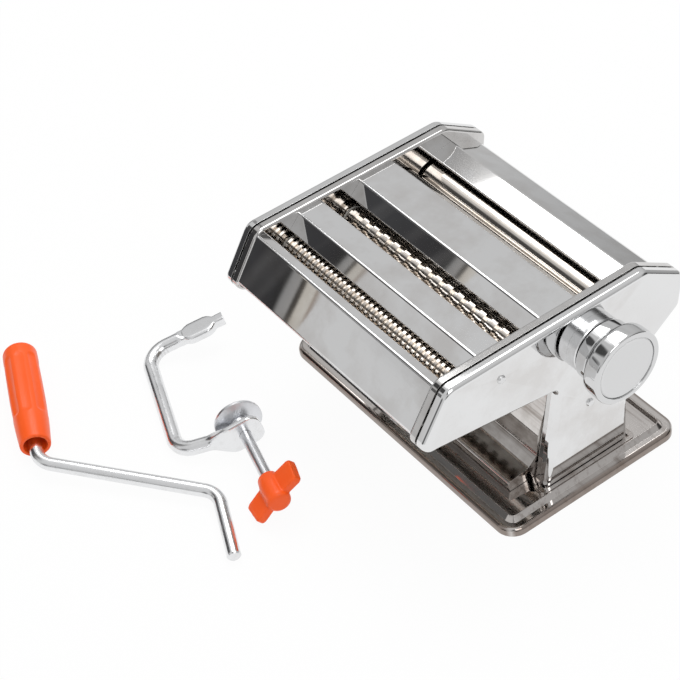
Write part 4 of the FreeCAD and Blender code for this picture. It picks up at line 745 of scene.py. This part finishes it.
class Workshop:
    """Turns meshes into finished pieces that ride on the frame's bodies."""

    def __init__(self, finisher: Finisher) -> None:
        """Work with one finisher."""
        self.finisher = finisher

    def deliver(self, name: str, mesh: bpy.types.Mesh, body: str, slot: Slot,
                *nodes: str) -> bpy.types.Object:
        """Make a finished piece from a mesh.

        Args:
            name: Name of the piece.
            mesh: Its mesh, in the frame's axes and metres.
            body: The body it rides on.
            slot: Its material slot.
            nodes: The CAD nodes it stands for.

        Returns:
            The piece.
        """
        piece = put(name, mesh)
        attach(piece, body)
        if nodes:
            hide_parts(*nodes)
        self.finisher.dress(piece, slot)
        LOG.info("%s: %d faces", name, len(mesh.polygons))
        return piece

    def fuse(self, name: str, meshes: Sequence[bpy.types.Mesh], voxel: float, passes: int) -> bpy.types.Mesh:
        """Melt closed meshes into one moulded skin with soft inner corners.

        Args:
            name: Name of the new mesh.
            meshes: Closed meshes that overlap.
            voxel: Size of the remesh.
            passes: How many times the skin is smoothed.

        Returns:
            One mesh.
        """
        whole, *others = (put(name, mesh) for mesh in meshes)
        for part in others:
            self.combine(whole, "UNION", part)
        remesh = whole.modifiers.new("skin", "REMESH")
        remesh.mode = "VOXEL"
        remesh.voxel_size = voxel * MM
        smooth = whole.modifiers.new("soft", "SMOOTH")
        smooth.factor = 0.5
        smooth.iterations = passes
        return self.bake(whole, name, others)

    def bore(self, mesh: bpy.types.Mesh, cutter: bpy.types.Mesh) -> bpy.types.Mesh:
        """Cut one closed mesh out of another.

        Args:
            mesh: The mesh that is cut.
            cutter: The mesh that is taken away.

        Returns:
            The cut mesh.
        """
        whole, tool = put(mesh.name, mesh), put("cutter", cutter)
        self.combine(whole, "DIFFERENCE", tool)
        return self.bake(whole, mesh.name, [tool])

    @staticmethod
    def combine(whole: bpy.types.Object, operation: str, other: bpy.types.Object) -> None:
        """Add an exact Boolean of another object.

        Args:
            whole: The object that changes.
            operation: "UNION" or "DIFFERENCE".
            other: The object that is joined on or cut out.
        """
        modifier = whole.modifiers.new(operation.lower(), "BOOLEAN")
        modifier.operation = operation
        modifier.solver = "EXACT"
        modifier.object = other

    @staticmethod
    def bake(whole: bpy.types.Object, name: str, helpers: Sequence[bpy.types.Object]) -> bpy.types.Mesh:
        """Apply an object's modifiers, and clear the object and its helpers away.

        Args:
            whole: The object.
            name: Name of the new mesh.
            helpers: The objects that its modifiers use.

        Returns:
            The mesh with its modifiers applied.
        """
        graph = bpy.context.evaluated_depsgraph_get()
        graph.update()
        mesh = bpy.data.meshes.new_from_object(whole.evaluated_get(graph))
        mesh.name = name
        for part in (whole, *helpers):
            bpy.data.objects.remove(part)
        return mesh


@dataclass(frozen=True)
class Crank:
    """The loose crank: a bent rod with a flatted end, and a plastic grip that spins on it.

    In its own axes the drive end is at the origin, the rod sets off along -X, and the flat is underneath.
    """

    end: tuple = (13.8, -182.3, 4.3)
    heading: float = -23.6
    rise: float = 7.0
    run: float = 154.48
    rod_radius: float = 4.0
    rod_segments: int = 72
    elbow: tuple = (-47.1, 0.0)
    shoulder: tuple = (-99.98, -94.62)
    bend: float = 14.0
    rod_tip: float = -189.48
    flat_length: float = 13.0
    flat_height: float = 3.35
    flat_step: float = 0.05
    bevel: float = 0.8
    grip_mouth: float = 12.5
    grip_length: float = 79.0
    grip_segments: int = 192
    mouth_radius: float = 9.0
    middle_radius: float = 10.7
    top_radius: float = 10.2
    rim_length: float = 3.0
    rim_flare: float = 0.28
    rim_setbacks: tuple = (0.05, 0.3, 0.8, 1.1)
    dome: float = 5.0
    dome_powers: tuple = (0.9, 0.82)
    mouth_bore: float = 6.9
    mouth_depth: float = 16.0
    rod_bore: float = 4.1
    bore_depth: float = 77.2
    flutes: int = 8
    flute_half_width: float = 2.9
    flute_depth: float = 0.75
    flute_span: tuple = (20.0, 68.5)

    @property
    def place(self) -> np.ndarray:
        """From the crank's own axes to the frame; the fat grip lifts the far end by the rise over the run."""
        tilt = math.degrees(math.asin(self.rise / self.run))
        return shift(*self.end) @ turn("Z", self.heading) @ turn("Y", tilt)

    def rod(self) -> bpy.types.Mesh:
        """The rod: a circle carried along a line with two true arcs.

        The first ring is drawn in by the bevel. Along the drive flat, points below it are lifted onto it, and
        a very short step after it makes its shoulder sharp.

        Returns:
            The rod's mesh.
        """
        corners = [(0.0, 0.0), self.elbow, self.shoulder, (self.rod_tip, self.shoulder[1])]
        path = plane_path(corners, (self.bend, self.bend))
        rings = (self.bevel, self.flat_length, self.flat_length + self.flat_step)
        bevel, flat, step = (np.array([[-ring, 0.0]]) for ring in rings)
        x = path[:, 0]
        path = np.concatenate([path[:1], bevel, path[(x < bevel[0, 0]) & (x > flat[0, 0])], flat, step,
                               path[x < step[0, 0]]])
        grid = sweep(path, self.rod_radius, self.rod_radius, self.rod_segments)
        grid[0, :, 1:] *= 1 - self.bevel / self.rod_radius
        flatted = (path[:, 0] >= -self.flat_length)[:, None]
        grid[..., 2] = np.where(flatted, np.maximum(grid[..., 2], -self.flat_height), grid[..., 2])
        return grid_mesh("crank_rod_skin", grid, self.place)

    def grip_profile(self) -> tuple[np.ndarray, int]:
        """The grip's line: a stepped bore, a rounded mouth, a crowned body and a dome.

        The body's radius falls from the middle by the square of the way to each end, and the dome's two sides
        are a sine and a cosine, each to a power just under one.

        Returns:
            The line's points, distance from the mouth and radius, and how many of them the bore and rim have.
        """
        inside = [(self.bore_depth, self.rod_bore), (self.mouth_depth, self.rod_bore),
                  (self.mouth_depth, self.mouth_bore), (0.0, self.mouth_bore), (0.0, self.mouth_radius),
                  (self.rim_length, self.mouth_radius + self.rim_flare)]
        rim = soften(inside, self.rim_setbacks)
        shoulder = self.grip_length - self.dome
        t = np.linspace(self.rim_length, shoulder, 120)[1:]
        middle = self.grip_length / 2
        fall = self.middle_radius - np.where(t < middle, self.mouth_radius, self.top_radius)
        body = np.stack([t, self.middle_radius - fall * ((t - middle) / middle) ** 2], axis=-1)
        turned = np.linspace(0.0, np.pi / 2 - 0.03, 22)[1:]
        rise, close = self.dome_powers
        cap = np.stack([shoulder + self.dome * np.sin(turned) ** rise,
                        body[-1, 1] * np.cos(turned) ** close], axis=-1)
        return np.concatenate([rim, body, cap]), len(rim)

    def grip(self) -> bpy.types.Mesh:
        """The grip: its line turned about the rod, with long round-ended flutes sunk into the outside.

        A flute's depth is one less the square of the distance from its middle line, over its half width.

        Returns:
            The grip's mesh.
        """
        profile, rim_points = self.grip_profile()
        grid = revolve(profile, self.grip_segments)
        along, radius = profile[:, :1], profile[:, 1:]
        spacing = 2 * np.pi / self.flutes
        angle = np.linspace(0.0, 2 * np.pi, self.grip_segments, endpoint=False)[None, :]
        across = radius * (np.mod(angle + spacing / 2, spacing) - spacing / 2)
        first, last = self.flute_span
        half_run = (last - first) / 2 - self.flute_half_width
        past = np.maximum(np.abs(along - (first + last) / 2) - half_run, 0.0)
        reach = np.hypot(across, past) / self.flute_half_width
        outer = np.arange(len(profile))[:, None] >= rim_points
        sink = np.where(outer, self.flute_depth * np.clip(1 - reach ** 2, 0.0, 1.0), 0.0)
        grid[..., 1:] *= (1 - sink / radius)[..., None]
        grid[..., 0] = self.shoulder[0] - self.grip_mouth - grid[..., 0]
        grid[..., 1] += self.shoulder[1]
        return grid_mesh("crank_grip_skin", grid, self.place)

    def build(self, workshop: Workshop) -> None:
        """Deliver the rod and the grip."""
        workshop.deliver("crank_rod_swept", self.rod(), "crank", Slot.ZINC, "crank_rod")
        workshop.deliver("crank_grip_moulded", self.grip(), "grip", Slot.PLASTIC, "crank_grip")


@dataclass(frozen=True)
class Clamp:
    """The loose table clamp: a rod pressed to a coin and a peg at one end and a drilled tongue at the other.

    In its own axes the corner of back and tongue arm is at the origin, the back runs along -X and the peg's
    leg along Y.
    """

    corner: tuple = (-72.2, -162.5, 4.6)
    heading: float = -20.6
    tilt: float = 15.0
    rod_radius: float = 4.5
    frame_segments: int = 88
    leg: float = 85.2
    bend: float = 13.0
    tongue_centre: tuple = (9.3, 39.6)
    screw_angle: float = 5.3
    tongue_half: tuple = (1.8, 10.0)
    tongue_reach: float = 10.9
    tongue_round: float = 7.0
    tongue_lead: float = 6.0
    tongue_power: float = 6.0
    jog_start: float = 20.0
    flatten_from: float = -21.0
    flat_at: float = -9.0
    wide_at: float = -7.5
    coin_centre: float = 34.5
    coin_half: tuple = (11.0, 7.1, 3.0)
    coin_blend: tuple = (2.5, 1.5)
    coin_power: float = 5.0
    peg_end: float = 51.0
    peg_half: float = 3.2
    peg_power: float = 6.0
    screw_hole: float = 3.5
    hub_start: float = 39.9
    hub_length: float = 21.0
    hub_radius: float = 7.0
    hub_taper: tuple = (6.0, 1.0)
    hub_setbacks: tuple = (0.6, 2.0, 3.2)
    screw_radius: float = 3.4
    screw_play: float = 0.15
    screw_depth: float = 14.0
    pole: float = 0.4
    wing_root: float = 4.5
    wing_half_span: float = 18.0
    wing_chord: float = 15.0
    wing_offset: float = 3.0
    wing_lean: float = 1.5
    wing_half_wall: float = 3.0
    wing_power: float = 7.0
    wing_narrowing: float = 0.12
    wing_roll: float = 118.0

    @property
    def place(self) -> np.ndarray:
        """From the clamp's own axes to the frame."""
        return shift(*self.corner) @ turn("Z", self.heading) @ turn("X", self.tilt)

    @property
    def screw_place(self) -> np.ndarray:
        """From axes on the screw, X outward along it, to the frame."""
        return self.place @ shift(*self.tongue_centre, 0.0) @ turn("Z", self.screw_angle)

    @property
    def tongue_way(self) -> np.ndarray:
        """The tongue's direction, square to the screw."""
        slant = math.radians(self.screw_angle)
        return np.array([-math.sin(slant), math.cos(slant)])

    def centre_line(self) -> np.ndarray:
        """The rod's line: down from the peg, round two bends, and an easy jog onto the tongue.

        The jog is a cubic that leaves along the arm and arrives along the tongue.

        Returns:
            Points along the line, two numbers each.
        """
        centre, tongue = np.array(self.tongue_centre), self.tongue_way
        lead = math.hypot(*self.tongue_centre)
        arm = centre / lead
        leave = arm * (lead - self.jog_start)
        join = centre - tongue * self.tongue_lead
        corners = [(-self.leg, self.peg_end), (-self.leg, 0.0), (0.0, 0.0), tuple(leave)]
        rod = plane_path(corners, (self.bend, self.bend), spacing=0.7)
        t = np.linspace(0.0, 1.0, 26)[1:, None]
        pull = np.linalg.norm(join - leave)
        jog = ((2 * t ** 3 - 3 * t ** 2 + 1) * leave + (t ** 3 - 2 * t ** 2 + t) * pull * arm
               + (3 * t ** 2 - 2 * t ** 3) * join + (t ** 3 - t ** 2) * pull * tongue)
        run = np.linspace(0.0, 1.0, 36)[1:, None] * (self.tongue_lead + self.tongue_reach)
        return np.concatenate([rod, jog, join + run * tongue])

    def frame(self, workshop: Workshop) -> bpy.types.Mesh:
        """The forged frame: one sweep whose section goes from square peg to coin, rod and tongue.

        Smooth steps along the line blend the half width, the half height and the power of the section. The
        coin's and the tongue's round ends follow a circle: the root of one less the square of the way along.

        Args:
            workshop: Where the screw's hole is bored.

        Returns:
            The frame's mesh.
        """
        elsewhere = -50.0  # A place that no step below reaches, for the points of the other arm.
        path = self.centre_line()
        on_leg = path[:, 0] < -self.leg / 2
        height = np.where(on_leg, path[:, 1], elsewhere)
        half_length, half_width, half_wall = self.coin_half
        outer_blend, inner_blend = self.coin_blend
        off_centre = np.abs(height - self.coin_centre)
        coin_top = self.coin_centre + half_length
        beyond = np.clip((off_centre - (half_length - half_width)) / half_width, 0.0, 1.0)
        on_peg = smooth_step(height, coin_top - outer_blend, coin_top)
        on_coin = smooth_step(off_centre, half_length + outer_blend, half_length - inner_blend)
        core = self.rod_radius + (self.peg_half - self.rod_radius) * on_peg
        across = np.maximum(core, half_width * np.sqrt(1 - beyond ** 2))
        above = core + (half_wall - core) * on_coin
        power = 2.0 + (self.coin_power - 2.0) * on_coin + (self.peg_power - 2.0) * on_peg * (1 - on_coin)

        along = np.where(on_leg, elsewhere, (path - np.array(self.tongue_centre)) @ self.tongue_way)
        on_tongue = smooth_step(along, self.flatten_from, self.flat_at)
        half_tongue, tip_width = self.tongue_half
        past = np.clip((along - (self.tongue_reach - self.tongue_round)) / self.tongue_round, 0.0, 1.0)
        tip = tip_width - self.tongue_round + self.tongue_round * np.sqrt(np.clip(1 - past ** 2, 0.0, 1.0))
        across = across + (half_tongue - across) * on_tongue
        above = above + (tip - above) * smooth_step(along, self.flatten_from, self.wide_at)
        power = power + (self.tongue_power - 2.0) * on_tongue
        grid = sweep(path, across, above, self.frame_segments, power)
        whole = grid_mesh("clamp_frame_skin", grid, self.place)
        hole = revolve(np.array([(-6.0, self.screw_hole), (6.0, self.screw_hole)]), segments=48)
        return workshop.bore(whole, grid_mesh("hole", hole, self.screw_place))

    def hub(self) -> bpy.types.Mesh:
        """The knob's hub: a closed line turned about the screw, tapered at its mouth and round at its top.

        Returns:
            The hub's mesh.
        """
        start, end = self.hub_start, self.hub_start + self.hub_length
        bore, (taper, draft) = self.screw_radius + self.screw_play, self.hub_taper
        outside = [(start, bore), (start, self.hub_radius - draft), (start + taper, self.hub_radius),
                   (end, self.hub_radius), (end, self.pole)]
        inside = np.array([(start + self.screw_depth, self.pole), (start + self.screw_depth, bore)])
        line = np.concatenate([soften(outside, self.hub_setbacks, steps=9), inside])
        return grid_mesh("hub", revolve(line, segments=72), self.screw_place)

    def wing(self, side: float) -> bpy.types.Mesh:
        """One blade: a squarish section carried outward from the hub, a little narrower at its tip.

        Args:
            side: 1 or -1.

        Returns:
            The blade's mesh.
        """
        rows = np.linspace(0.0, 1.0, 14)[:, None]
        middle = self.hub_start + self.wing_offset + self.wing_chord / 2 + self.wing_lean * rows
        outward = side * (self.wing_root + (self.wing_half_span - self.wing_root) * rows)
        narrow = 1 - self.wing_narrowing * smooth_step(rows[:, 0], 0.86, 1.0)
        grid = sweep(np.concatenate([middle, outward], axis=1), self.wing_chord / 2 * narrow,
                     self.wing_half_wall * narrow, segments=60, power=self.wing_power)
        return grid_mesh("wing", grid, self.screw_place @ turn("X", self.wing_roll - 90.0))

    def knob(self, workshop: Workshop) -> bpy.types.Mesh:
        """The wing knob: a bored hub with two blades, moulded in one skin."""
        parts = [self.hub(), self.wing(-1.0), self.wing(1.0)]
        return workshop.fuse("clamp_wing_knob_skin", parts, voxel=0.42, passes=7)

    def build(self, workshop: Workshop) -> None:
        """Deliver the frame and the knob.

        Args:
            workshop: Where both are finished.
        """
        workshop.deliver("clamp_frame_forged", self.frame(workshop), "clamp", Slot.ZINC, "clamp_frame")
        workshop.deliver("clamp_wing_knob_moulded", self.knob(workshop), "screw", Slot.PLASTIC,
                         "clamp_wing_knob")


@dataclass(frozen=True)
class RegulatorKnob:
    """The regulator's knob: a drum, a waist and a flared cap rim round a set-in disc."""

    axis_y: float = 7.5
    axis_z: float = 97.5
    segments: int = 192
    inner: float = 97.3
    drum_end: float = 104.5
    waist_end: float = 107.6
    cap_end: float = 117.6
    drum_radius: float = 18.0
    waist_radius: float = 15.6
    cap_radius: float = 22.1
    disc_radius: float = 18.6
    disc_seat: float = 114.8
    disc_roll: float = 2.4
    disc_pole: float = 0.3
    crown: float = 0.22
    recess: float = 0.6
    cavity: float = 7.6
    ledge: float = 101.5
    bore: float = 4.1
    drum_setbacks: tuple = (0.9, 0.8, 0.5, 0.6, 1.0, 0.9, 1.2, 1.5, 0.5, 0.05, 0.4, 0.4, 0.2)
    disc_setbacks: tuple = (0.1, 0.7, 0.7)

    @property
    def place(self) -> np.ndarray:
        """From the knob's axis to the frame."""
        return shift(0.0, self.axis_y, self.axis_z)

    def drum(self) -> bpy.types.Mesh:
        """The chromed shell, as one closed line turned about the shaft.

        Returns:
            The shell's mesh.
        """
        outside = [
            (self.inner, self.bore), (self.inner, self.drum_radius), (self.drum_end, self.drum_radius),
            (self.drum_end, self.waist_radius + 0.6), (self.drum_end + 1.0, self.waist_radius),
            (self.waist_end - 1.6, self.waist_radius + 0.3), (self.waist_end - 0.2, self.cap_radius - 0.6),
            (self.waist_end + 1.4, self.cap_radius), (self.cap_end, self.cap_radius),
            (self.cap_end, self.disc_radius), (self.disc_seat, self.disc_radius),
            (self.disc_seat, self.cavity), (self.ledge, self.cavity), (self.ledge, self.bore),
            (self.ledge - 1.0, self.bore),
        ]
        line = soften(outside, self.drum_setbacks, steps=8)
        return grid_mesh("knob_drum_skin", revolve(line, self.segments), self.place, loop=True)

    def cap(self) -> bpy.types.Mesh:
        """The set-in disc: a rolled edge, and a face whose crown falls by the square of the radius.

        Returns:
            The disc's mesh.
        """
        face = self.cap_end - self.recess
        dip = face - 0.15
        edge, flat = self.disc_radius, self.disc_radius - self.disc_roll
        rolled = [(self.disc_seat, self.disc_pole), (self.disc_seat, edge), (face - 0.1, edge),
                  (face + 0.25, edge - 1.3), (dip, flat)]
        r = np.linspace(flat - 0.1, self.disc_pole, 40)
        crown = np.stack([dip + self.crown * (1 - (r / flat) ** 2), r], axis=-1)
        line = np.concatenate([soften(rolled, self.disc_setbacks, steps=9), crown])
        return grid_mesh("knob_cap_skin", revolve(line, self.segments), self.place)

    def build(self, workshop: Workshop) -> None:
        """Deliver the drum and the disc."""
        workshop.deliver("knob_drum_turned", self.drum(), "knob", Slot.CHROME, "knob_drum")
        workshop.deliver("knob_cap_pressed", self.cap(), "knob", Slot.CHROME, "knob_cap")


# ---------------------------------------------------------------------------
# Studio
# ---------------------------------------------------------------------------

@dataclass(frozen=True)
class View:
    """The main camera: its place, its angles in degrees, and its lens in pixels of a square picture."""

    centre: tuple = (0.68075, -0.50693, 0.84744)
    azimuth: float = 58.506
    elevation: float = 43.221
    roll: float = -7.389
    focal_pixels: float = 2065.74
    frame_pixels: float = 680.0

    def build(self) -> None:
        """Create the camera and look through it; it is turned, then raised, then rolled."""
        azimuth, elevation, roll = (math.radians(v) for v in (self.azimuth, self.elevation, self.roll))
        back = Vector((math.sin(azimuth) * math.cos(elevation), -math.cos(azimuth) * math.cos(elevation),
                       math.sin(elevation)))
        level = Vector((math.cos(azimuth), math.sin(azimuth), 0.0))
        over = back.cross(level)
        right = level * math.cos(roll) + over * math.sin(roll)
        up = over * math.cos(roll) - level * math.sin(roll)
        data = bpy.data.cameras.new("photo_camera")
        data.sensor_width = 36.0
        data.lens = self.focal_pixels / self.frame_pixels * data.sensor_width
        data.clip_start = 0.01
        data.clip_end = 50.0
        camera = put("photo_camera", data)
        axes = Matrix((right, up, back)).transposed()
        camera.matrix_world = Matrix.LocRotScale(Vector(self.centre), axes, None)
        bpy.context.scene.camera = camera


@dataclass(frozen=True)
class Spot:
    """A place in the tent: its direction, its inner and outer reach in degrees, and its share of the light."""

    toward: tuple
    inner: float
    outer: float
    level: float

    def mask(self, n: Nodes, way: bpy.types.NodeSocket) -> bpy.types.NodeSocket:
        """The factor for a direction: the cosine of its angle to the spot, mapped from outer to inner reach.

        Args:
            n: The cloth's node helper.
            way: The direction, of length one.

        Returns:
            1 outside the spot, and its level inside.
        """
        aim = tuple(float(v) for v in unit(np.array(self.toward)))
        outer, inner = (math.cos(math.radians(v)) for v in (self.outer, self.inner))
        return n.remap(n.vector("DOT_PRODUCT", way, aim), outer, inner, 1.0, self.level)


@dataclass(frozen=True)
class Tent:
    """A light tent whose cloth is brighter overhead, with darker and brighter places that chrome picks up.

    The light depends only on the direction from the middle of the scene. It follows a ramp over the height,
    is a little stronger in front than behind near the floor, has one bright panel overhead, and is multiplied
    at each spot. The panel's ranges say where it fades in or out along each axis of the direction.
    """

    radius: float = 7.0
    rise: tuple = ((0.0, 0.56), (0.30, 0.60), (0.60, 0.66), (0.72, 0.70), (1.0, 0.74))
    lean: float = -0.17
    lean_heights: tuple = (0.25, 0.6)
    panel: float = 0.60
    panel_heights: tuple = (0.725, 0.755)
    panel_left: tuple = (-0.648, -0.612)
    panel_right: tuple = (-0.50, -0.45)
    panel_front: tuple = (-0.20, -0.14)
    spots: tuple = (
        Spot((-0.59, 0.80, 0.07), 12.0, 30.0, 1.35),
        Spot((-0.59, -0.50, 0.63), 9.5, 14.0, 0.11),
        Spot((-0.56, -0.79, 0.26), 4.0, 9.0, 0.2),
        Spot((-0.70, 0.20, 0.68), 5.0, 10.0, 0.45),
        Spot((0.6214, -0.3808, 0.6848), 7.0, 15.0, 0.10),
        Spot((0.55, 0.82, 0.12), 10.0, 26.0, 0.14),
        Spot((-0.97, 0.10, 0.18), 6.0, 18.0, 0.22),
        Spot((0.93, -0.36, 0.08), 6.0, 16.0, 0.20),
        Spot((0.05, -0.99, 0.10), 8.0, 20.0, 0.16),
    )

    def cloth(self) -> bpy.types.Material:
        """The cloth's material, which only gives off light.

        Returns:
            The material.
        """
        material, n = blank_material("tent_cloth")
        way = n.vector("NORMALIZE", n.place())
        axes = n.split(way)
        x, y, height = axes["X"], axes["Y"], axes["Z"]
        rise = n.ramp(height, [(position, (level,) * 3) for position, level in self.rise])
        low = n.remap(height, *self.lean_heights, 1.0, 0.0)
        level = n.math("ADD", rise, n.math("MULTIPLY", n.math("MULTIPLY", y, low), self.lean))
        panel = n.math("MULTIPLY", n.remap(height, *self.panel_heights), n.remap(x, *self.panel_left))
        panel = n.math("MULTIPLY", panel, n.remap(y, *self.panel_front))
        panel = n.math("MULTIPLY", panel, n.remap(x, *self.panel_right, 1.0, 0.0))
        level = n.math("ADD", level, n.math("MULTIPLY", panel, self.panel))
        for spot in self.spots:
            level = n.math("MULTIPLY", level, spot.mask(n, way))
        n.show(n.glow(n.grey(level)))
        material.cycles.emission_sampling = "NONE"
        return material

    def build(self) -> None:
        """Put up the tent: a quarter circle turned into a dome that reaches just below the floor."""
        polar = np.linspace(0.0, np.pi / 2 + 0.02, 28)[1:]
        line = np.stack([np.cos(polar), np.sin(polar)], axis=-1) * (self.radius / MM)
        tent = put("light_tent", grid_mesh("light_tent", revolve(line, 72), turn("Y", -90.0)))
        tent.data.materials.append(self.cloth())
        tent.visible_camera = False


def board(name: str, corners: Sequence[tuple], material: bpy.types.Material) -> bpy.types.Object:
    """A flat board with four corners.

    Args:
        name: Name of the board.
        corners: Its corners, in order.
        material: What it is made of.

    Returns:
        The board.
    """
    mesh = bpy.data.meshes.new(name)
    mesh.from_pydata(corners, [], [(0, 1, 2, 3)])
    mesh.materials.append(material)
    return put(name, mesh)


def metal_card(name: str, corners: Sequence[tuple], material: bpy.types.Material) -> None:
    """Stand a board on the stage that shows in polished metal and nowhere else.

    Args:
        name: Name of the card.
        corners: Its corners, in order.
        material: What it is made of.
    """
    card = board(name, corners, material)
    card.visible_camera = card.visible_diffuse = card.visible_shadow = card.visible_transmission = False


@dataclass(frozen=True)
class DarkCard:
    """A dark card with a few bright bands, to the left of the machine.

    The place across the bands is x plus a share of the height, made uneven by a noise, and less by a small
    shift above the strip near the top. Past the clear edge the card doesn't show.
    """

    y: float = -0.33
    left: float = -0.75
    right: float = -0.19
    right_top: float = -0.25
    height: float = 0.33
    slant: float = 0.36
    uneven: float = 0.03
    ripple_scale: float = 9.0
    ripple_squeeze: float = 0.35
    strip: tuple = (0.284, 0.292)
    strip_shift: float = 0.034
    band_span: tuple = (-0.25, -0.14)
    clear_edge: tuple = (-0.153, -0.148)
    cloud_scale: float = 26.0
    cloud_squeeze: float = 0.12
    cloud_range: tuple = (0.55, 0.72)
    cloud_weight: float = 0.18
    cloud_color: tuple = (0.40, 0.39, 0.38)
    bands: tuple = (
        (0.0, (0.058, 0.058, 0.061)),
        (0.60, (0.045, 0.044, 0.046)),
        (0.66, (0.03, 0.03, 0.03)),
        (0.69, (0.30, 0.295, 0.29)),
        (0.75, (0.34, 0.33, 0.32)),
        (0.765, (0.06, 0.055, 0.05)),
        (0.79, (0.08, 0.07, 0.06)),
        (0.805, (0.60, 0.56, 0.50)),
        (0.87, (0.66, 0.63, 0.58)),
        (0.885, (0.28, 0.21, 0.16)),
        (1.0, (0.30, 0.23, 0.18)),
    )

    def surface(self) -> bpy.types.Material:
        """The card's material: bands of light, faintly clouded, and clear at its right edge.

        Returns:
            The material.
        """
        material, n = blank_material("dark_card")
        place = n.place()
        axes = n.split(place)
        slant = n.math("ADD", axes["X"], n.math("MULTIPLY", axes["Z"], self.slant))
        squeezed = n.vector("MULTIPLY", place, (1.0, 1.0, self.ripple_squeeze))
        ripple = n.noise(squeezed, self.ripple_scale, detail=1.0, roughness=0.5)
        across = n.math("ADD", slant, n.math("MULTIPLY", ripple, self.uneven))
        across = n.math("SUBTRACT", across, n.remap(axes["Z"], *self.strip, 0.0, self.strip_shift))
        banded = n.ramp(n.remap(across, *self.band_span), self.bands)
        squeezed = n.vector("MULTIPLY", place, (1.0, 1.0, self.cloud_squeeze))
        clouds = n.remap(n.noise(squeezed, self.cloud_scale, detail=2.0, roughness=0.5), *self.cloud_range)
        color = n.mix(n.math("MULTIPLY", clouds, self.cloud_weight), banded, self.cloud_color)
        past_edge = n.remap(across, *self.clear_edge)
        n.show(n.blend(past_edge, n.glow(color), n.add("ShaderNodeBsdfTransparent")))
        return material

    def build(self) -> None:
        """Stand the card up."""
        corners = [(self.left, self.y, 0.0), (self.right, self.y, 0.0), (self.right_top, self.y, self.height),
                   (self.left, self.y, self.height)]
        metal_card("dark_card", corners, self.surface())


@dataclass(frozen=True)
class GreyCard:
    """A long low card far behind the machine, which its rear flange shows; its grey falls to the right."""

    y: float = 1.2
    left: float = -1.9
    right: float = -0.3
    height: float = 0.16
    fall_span: tuple = (-0.98, -0.68)
    fall_levels: tuple = (0.60, 0.43)

    def surface(self) -> bpy.types.Material:
        """The card's material, a grey that is mapped from the place along it.

        Returns:
            The material.
        """
        material, n = blank_material("grey_card")
        level = n.remap(n.split(n.place())["X"], *self.fall_span, *self.fall_levels)
        n.show(n.glow(n.grey(level)))
        return material

    def build(self) -> None:
        """Stand the card up."""
        corners = [(self.left, self.y, 0.0), (self.right, self.y, 0.0), (self.right, self.y, self.height),
                   (self.left, self.y, self.height)]
        metal_card("grey_card", corners, self.surface())


@dataclass(frozen=True)
class TableTop:
    """A wide white table top that shows as white in the picture and in metal, and keeps soft shadows."""

    half: float = 12.0
    cloth: tuple = (0.9, 0.9, 0.9)
    whiteness: float = 0.95

    def surface(self) -> bpy.types.Material:
        """The table's material: cloth for soft light, and nearly pure white for straight and mirrored rays.

        Returns:
            The material.
        """
        material, n = blank_material("white_table")
        path = n.add("ShaderNodeLightPath").outputs
        mirrored = n.math("MAXIMUM", path["Is Camera Ray"], path["Is Glossy Ray"])
        direct = n.math("MAXIMUM", mirrored, path["Is Transmission Ray"])
        cloth = n.add("ShaderNodeBsdfDiffuse", Color=self.cloth)
        n.show(n.blend(n.math("MULTIPLY", direct, self.whiteness), cloth, n.glow(WHITE)))
        return material

    def build(self) -> None:
        """Lay the table top."""
        half = self.half
        corners = [(-half, -half, 0.0), (half, -half, 0.0), (half, half, 0.0), (-half, half, 0.0)]
        top = board("table_top", corners, self.surface())


@dataclass(frozen=True)
class Lamp:
    """A soft square lamp that looks at the machine: its place, its side and its power in watts."""

    name: str
    place: tuple
    side: float
    power: float
    aim: tuple = (0.0, 0.0, 0.05)

    def build(self) -> None:
        """Hang the lamp and point it at its aim."""
        data = bpy.data.lights.new(self.name, "AREA")
        data.shape = "RECTANGLE"
        data.size = data.size_y = self.side
        data.energy = self.power
        lamp = put(self.name, data)
        lamp.location = self.place
        lamp.rotation_euler = (Vector(self.aim) - Vector(self.place)).to_track_quat("-Z", "Y").to_euler()


class Studio:
    """A plain white world, a light tent, two cards that only metal shows, a table, two lamps and a camera."""

    PARTS = (
        Tent(),
        DarkCard(),
        GreyCard(),
        TableTop(),
        Lamp("key", (-0.5, 0.3, 1.4), 0.9, 9.0),
        Lamp("fill", (1.2, -0.2, 1.2), 0.8, 5.0),
        View(),
    )

    @staticmethod
    def world() -> None:
        """A plain white background behind everything."""
        world = bpy.data.worlds.new("studio")
        bpy.context.scene.world = world
        world.use_nodes = True
        world.node_tree.nodes.clear()
        n = Nodes(world.node_tree)
        background = n.add("ShaderNodeBackground", Color=WHITE, Strength=1.0)
        n.add("ShaderNodeOutputWorld", Surface=background.outputs[0])
        world.cycles.sampling_method = "NONE"

    def build(self) -> None:
        """Set up everything that isn't the object."""
        self.world()
        for part in self.PARTS:
            part.build()
        bpy.context.scene.view_settings.view_transform = "Standard"


# ---------------------------------------------------------------------------
# The whole scene
# ---------------------------------------------------------------------------

def dress_nodes(frame: dict, finisher: Finisher) -> None:
    """Give every carried-over CAD node its finish and smooth shading.

    Args:
        finisher: Where the materials come from.
    """
    slots = {entry["node"]: Slot(entry["material_slot"]) for entry in frame["record"]["subparts"]}
    for name, piece in frame["nodes"].items():
        finisher.dress(piece, slots[name])


def main() -> None:
    """Dress the frame, add the modelled pieces, set the studio and keep the two boxes' sizes."""
    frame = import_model()
    finisher = Finisher()
    dress_nodes(frame, finisher)
    workshop = Workshop(finisher)
    for assembly in (Crank(), Clamp(), RegulatorKnob()):
        assembly.build(workshop)
    Studio().build()
    bpy.context.view_layer.update()


if __name__ == "__main__":
    main()
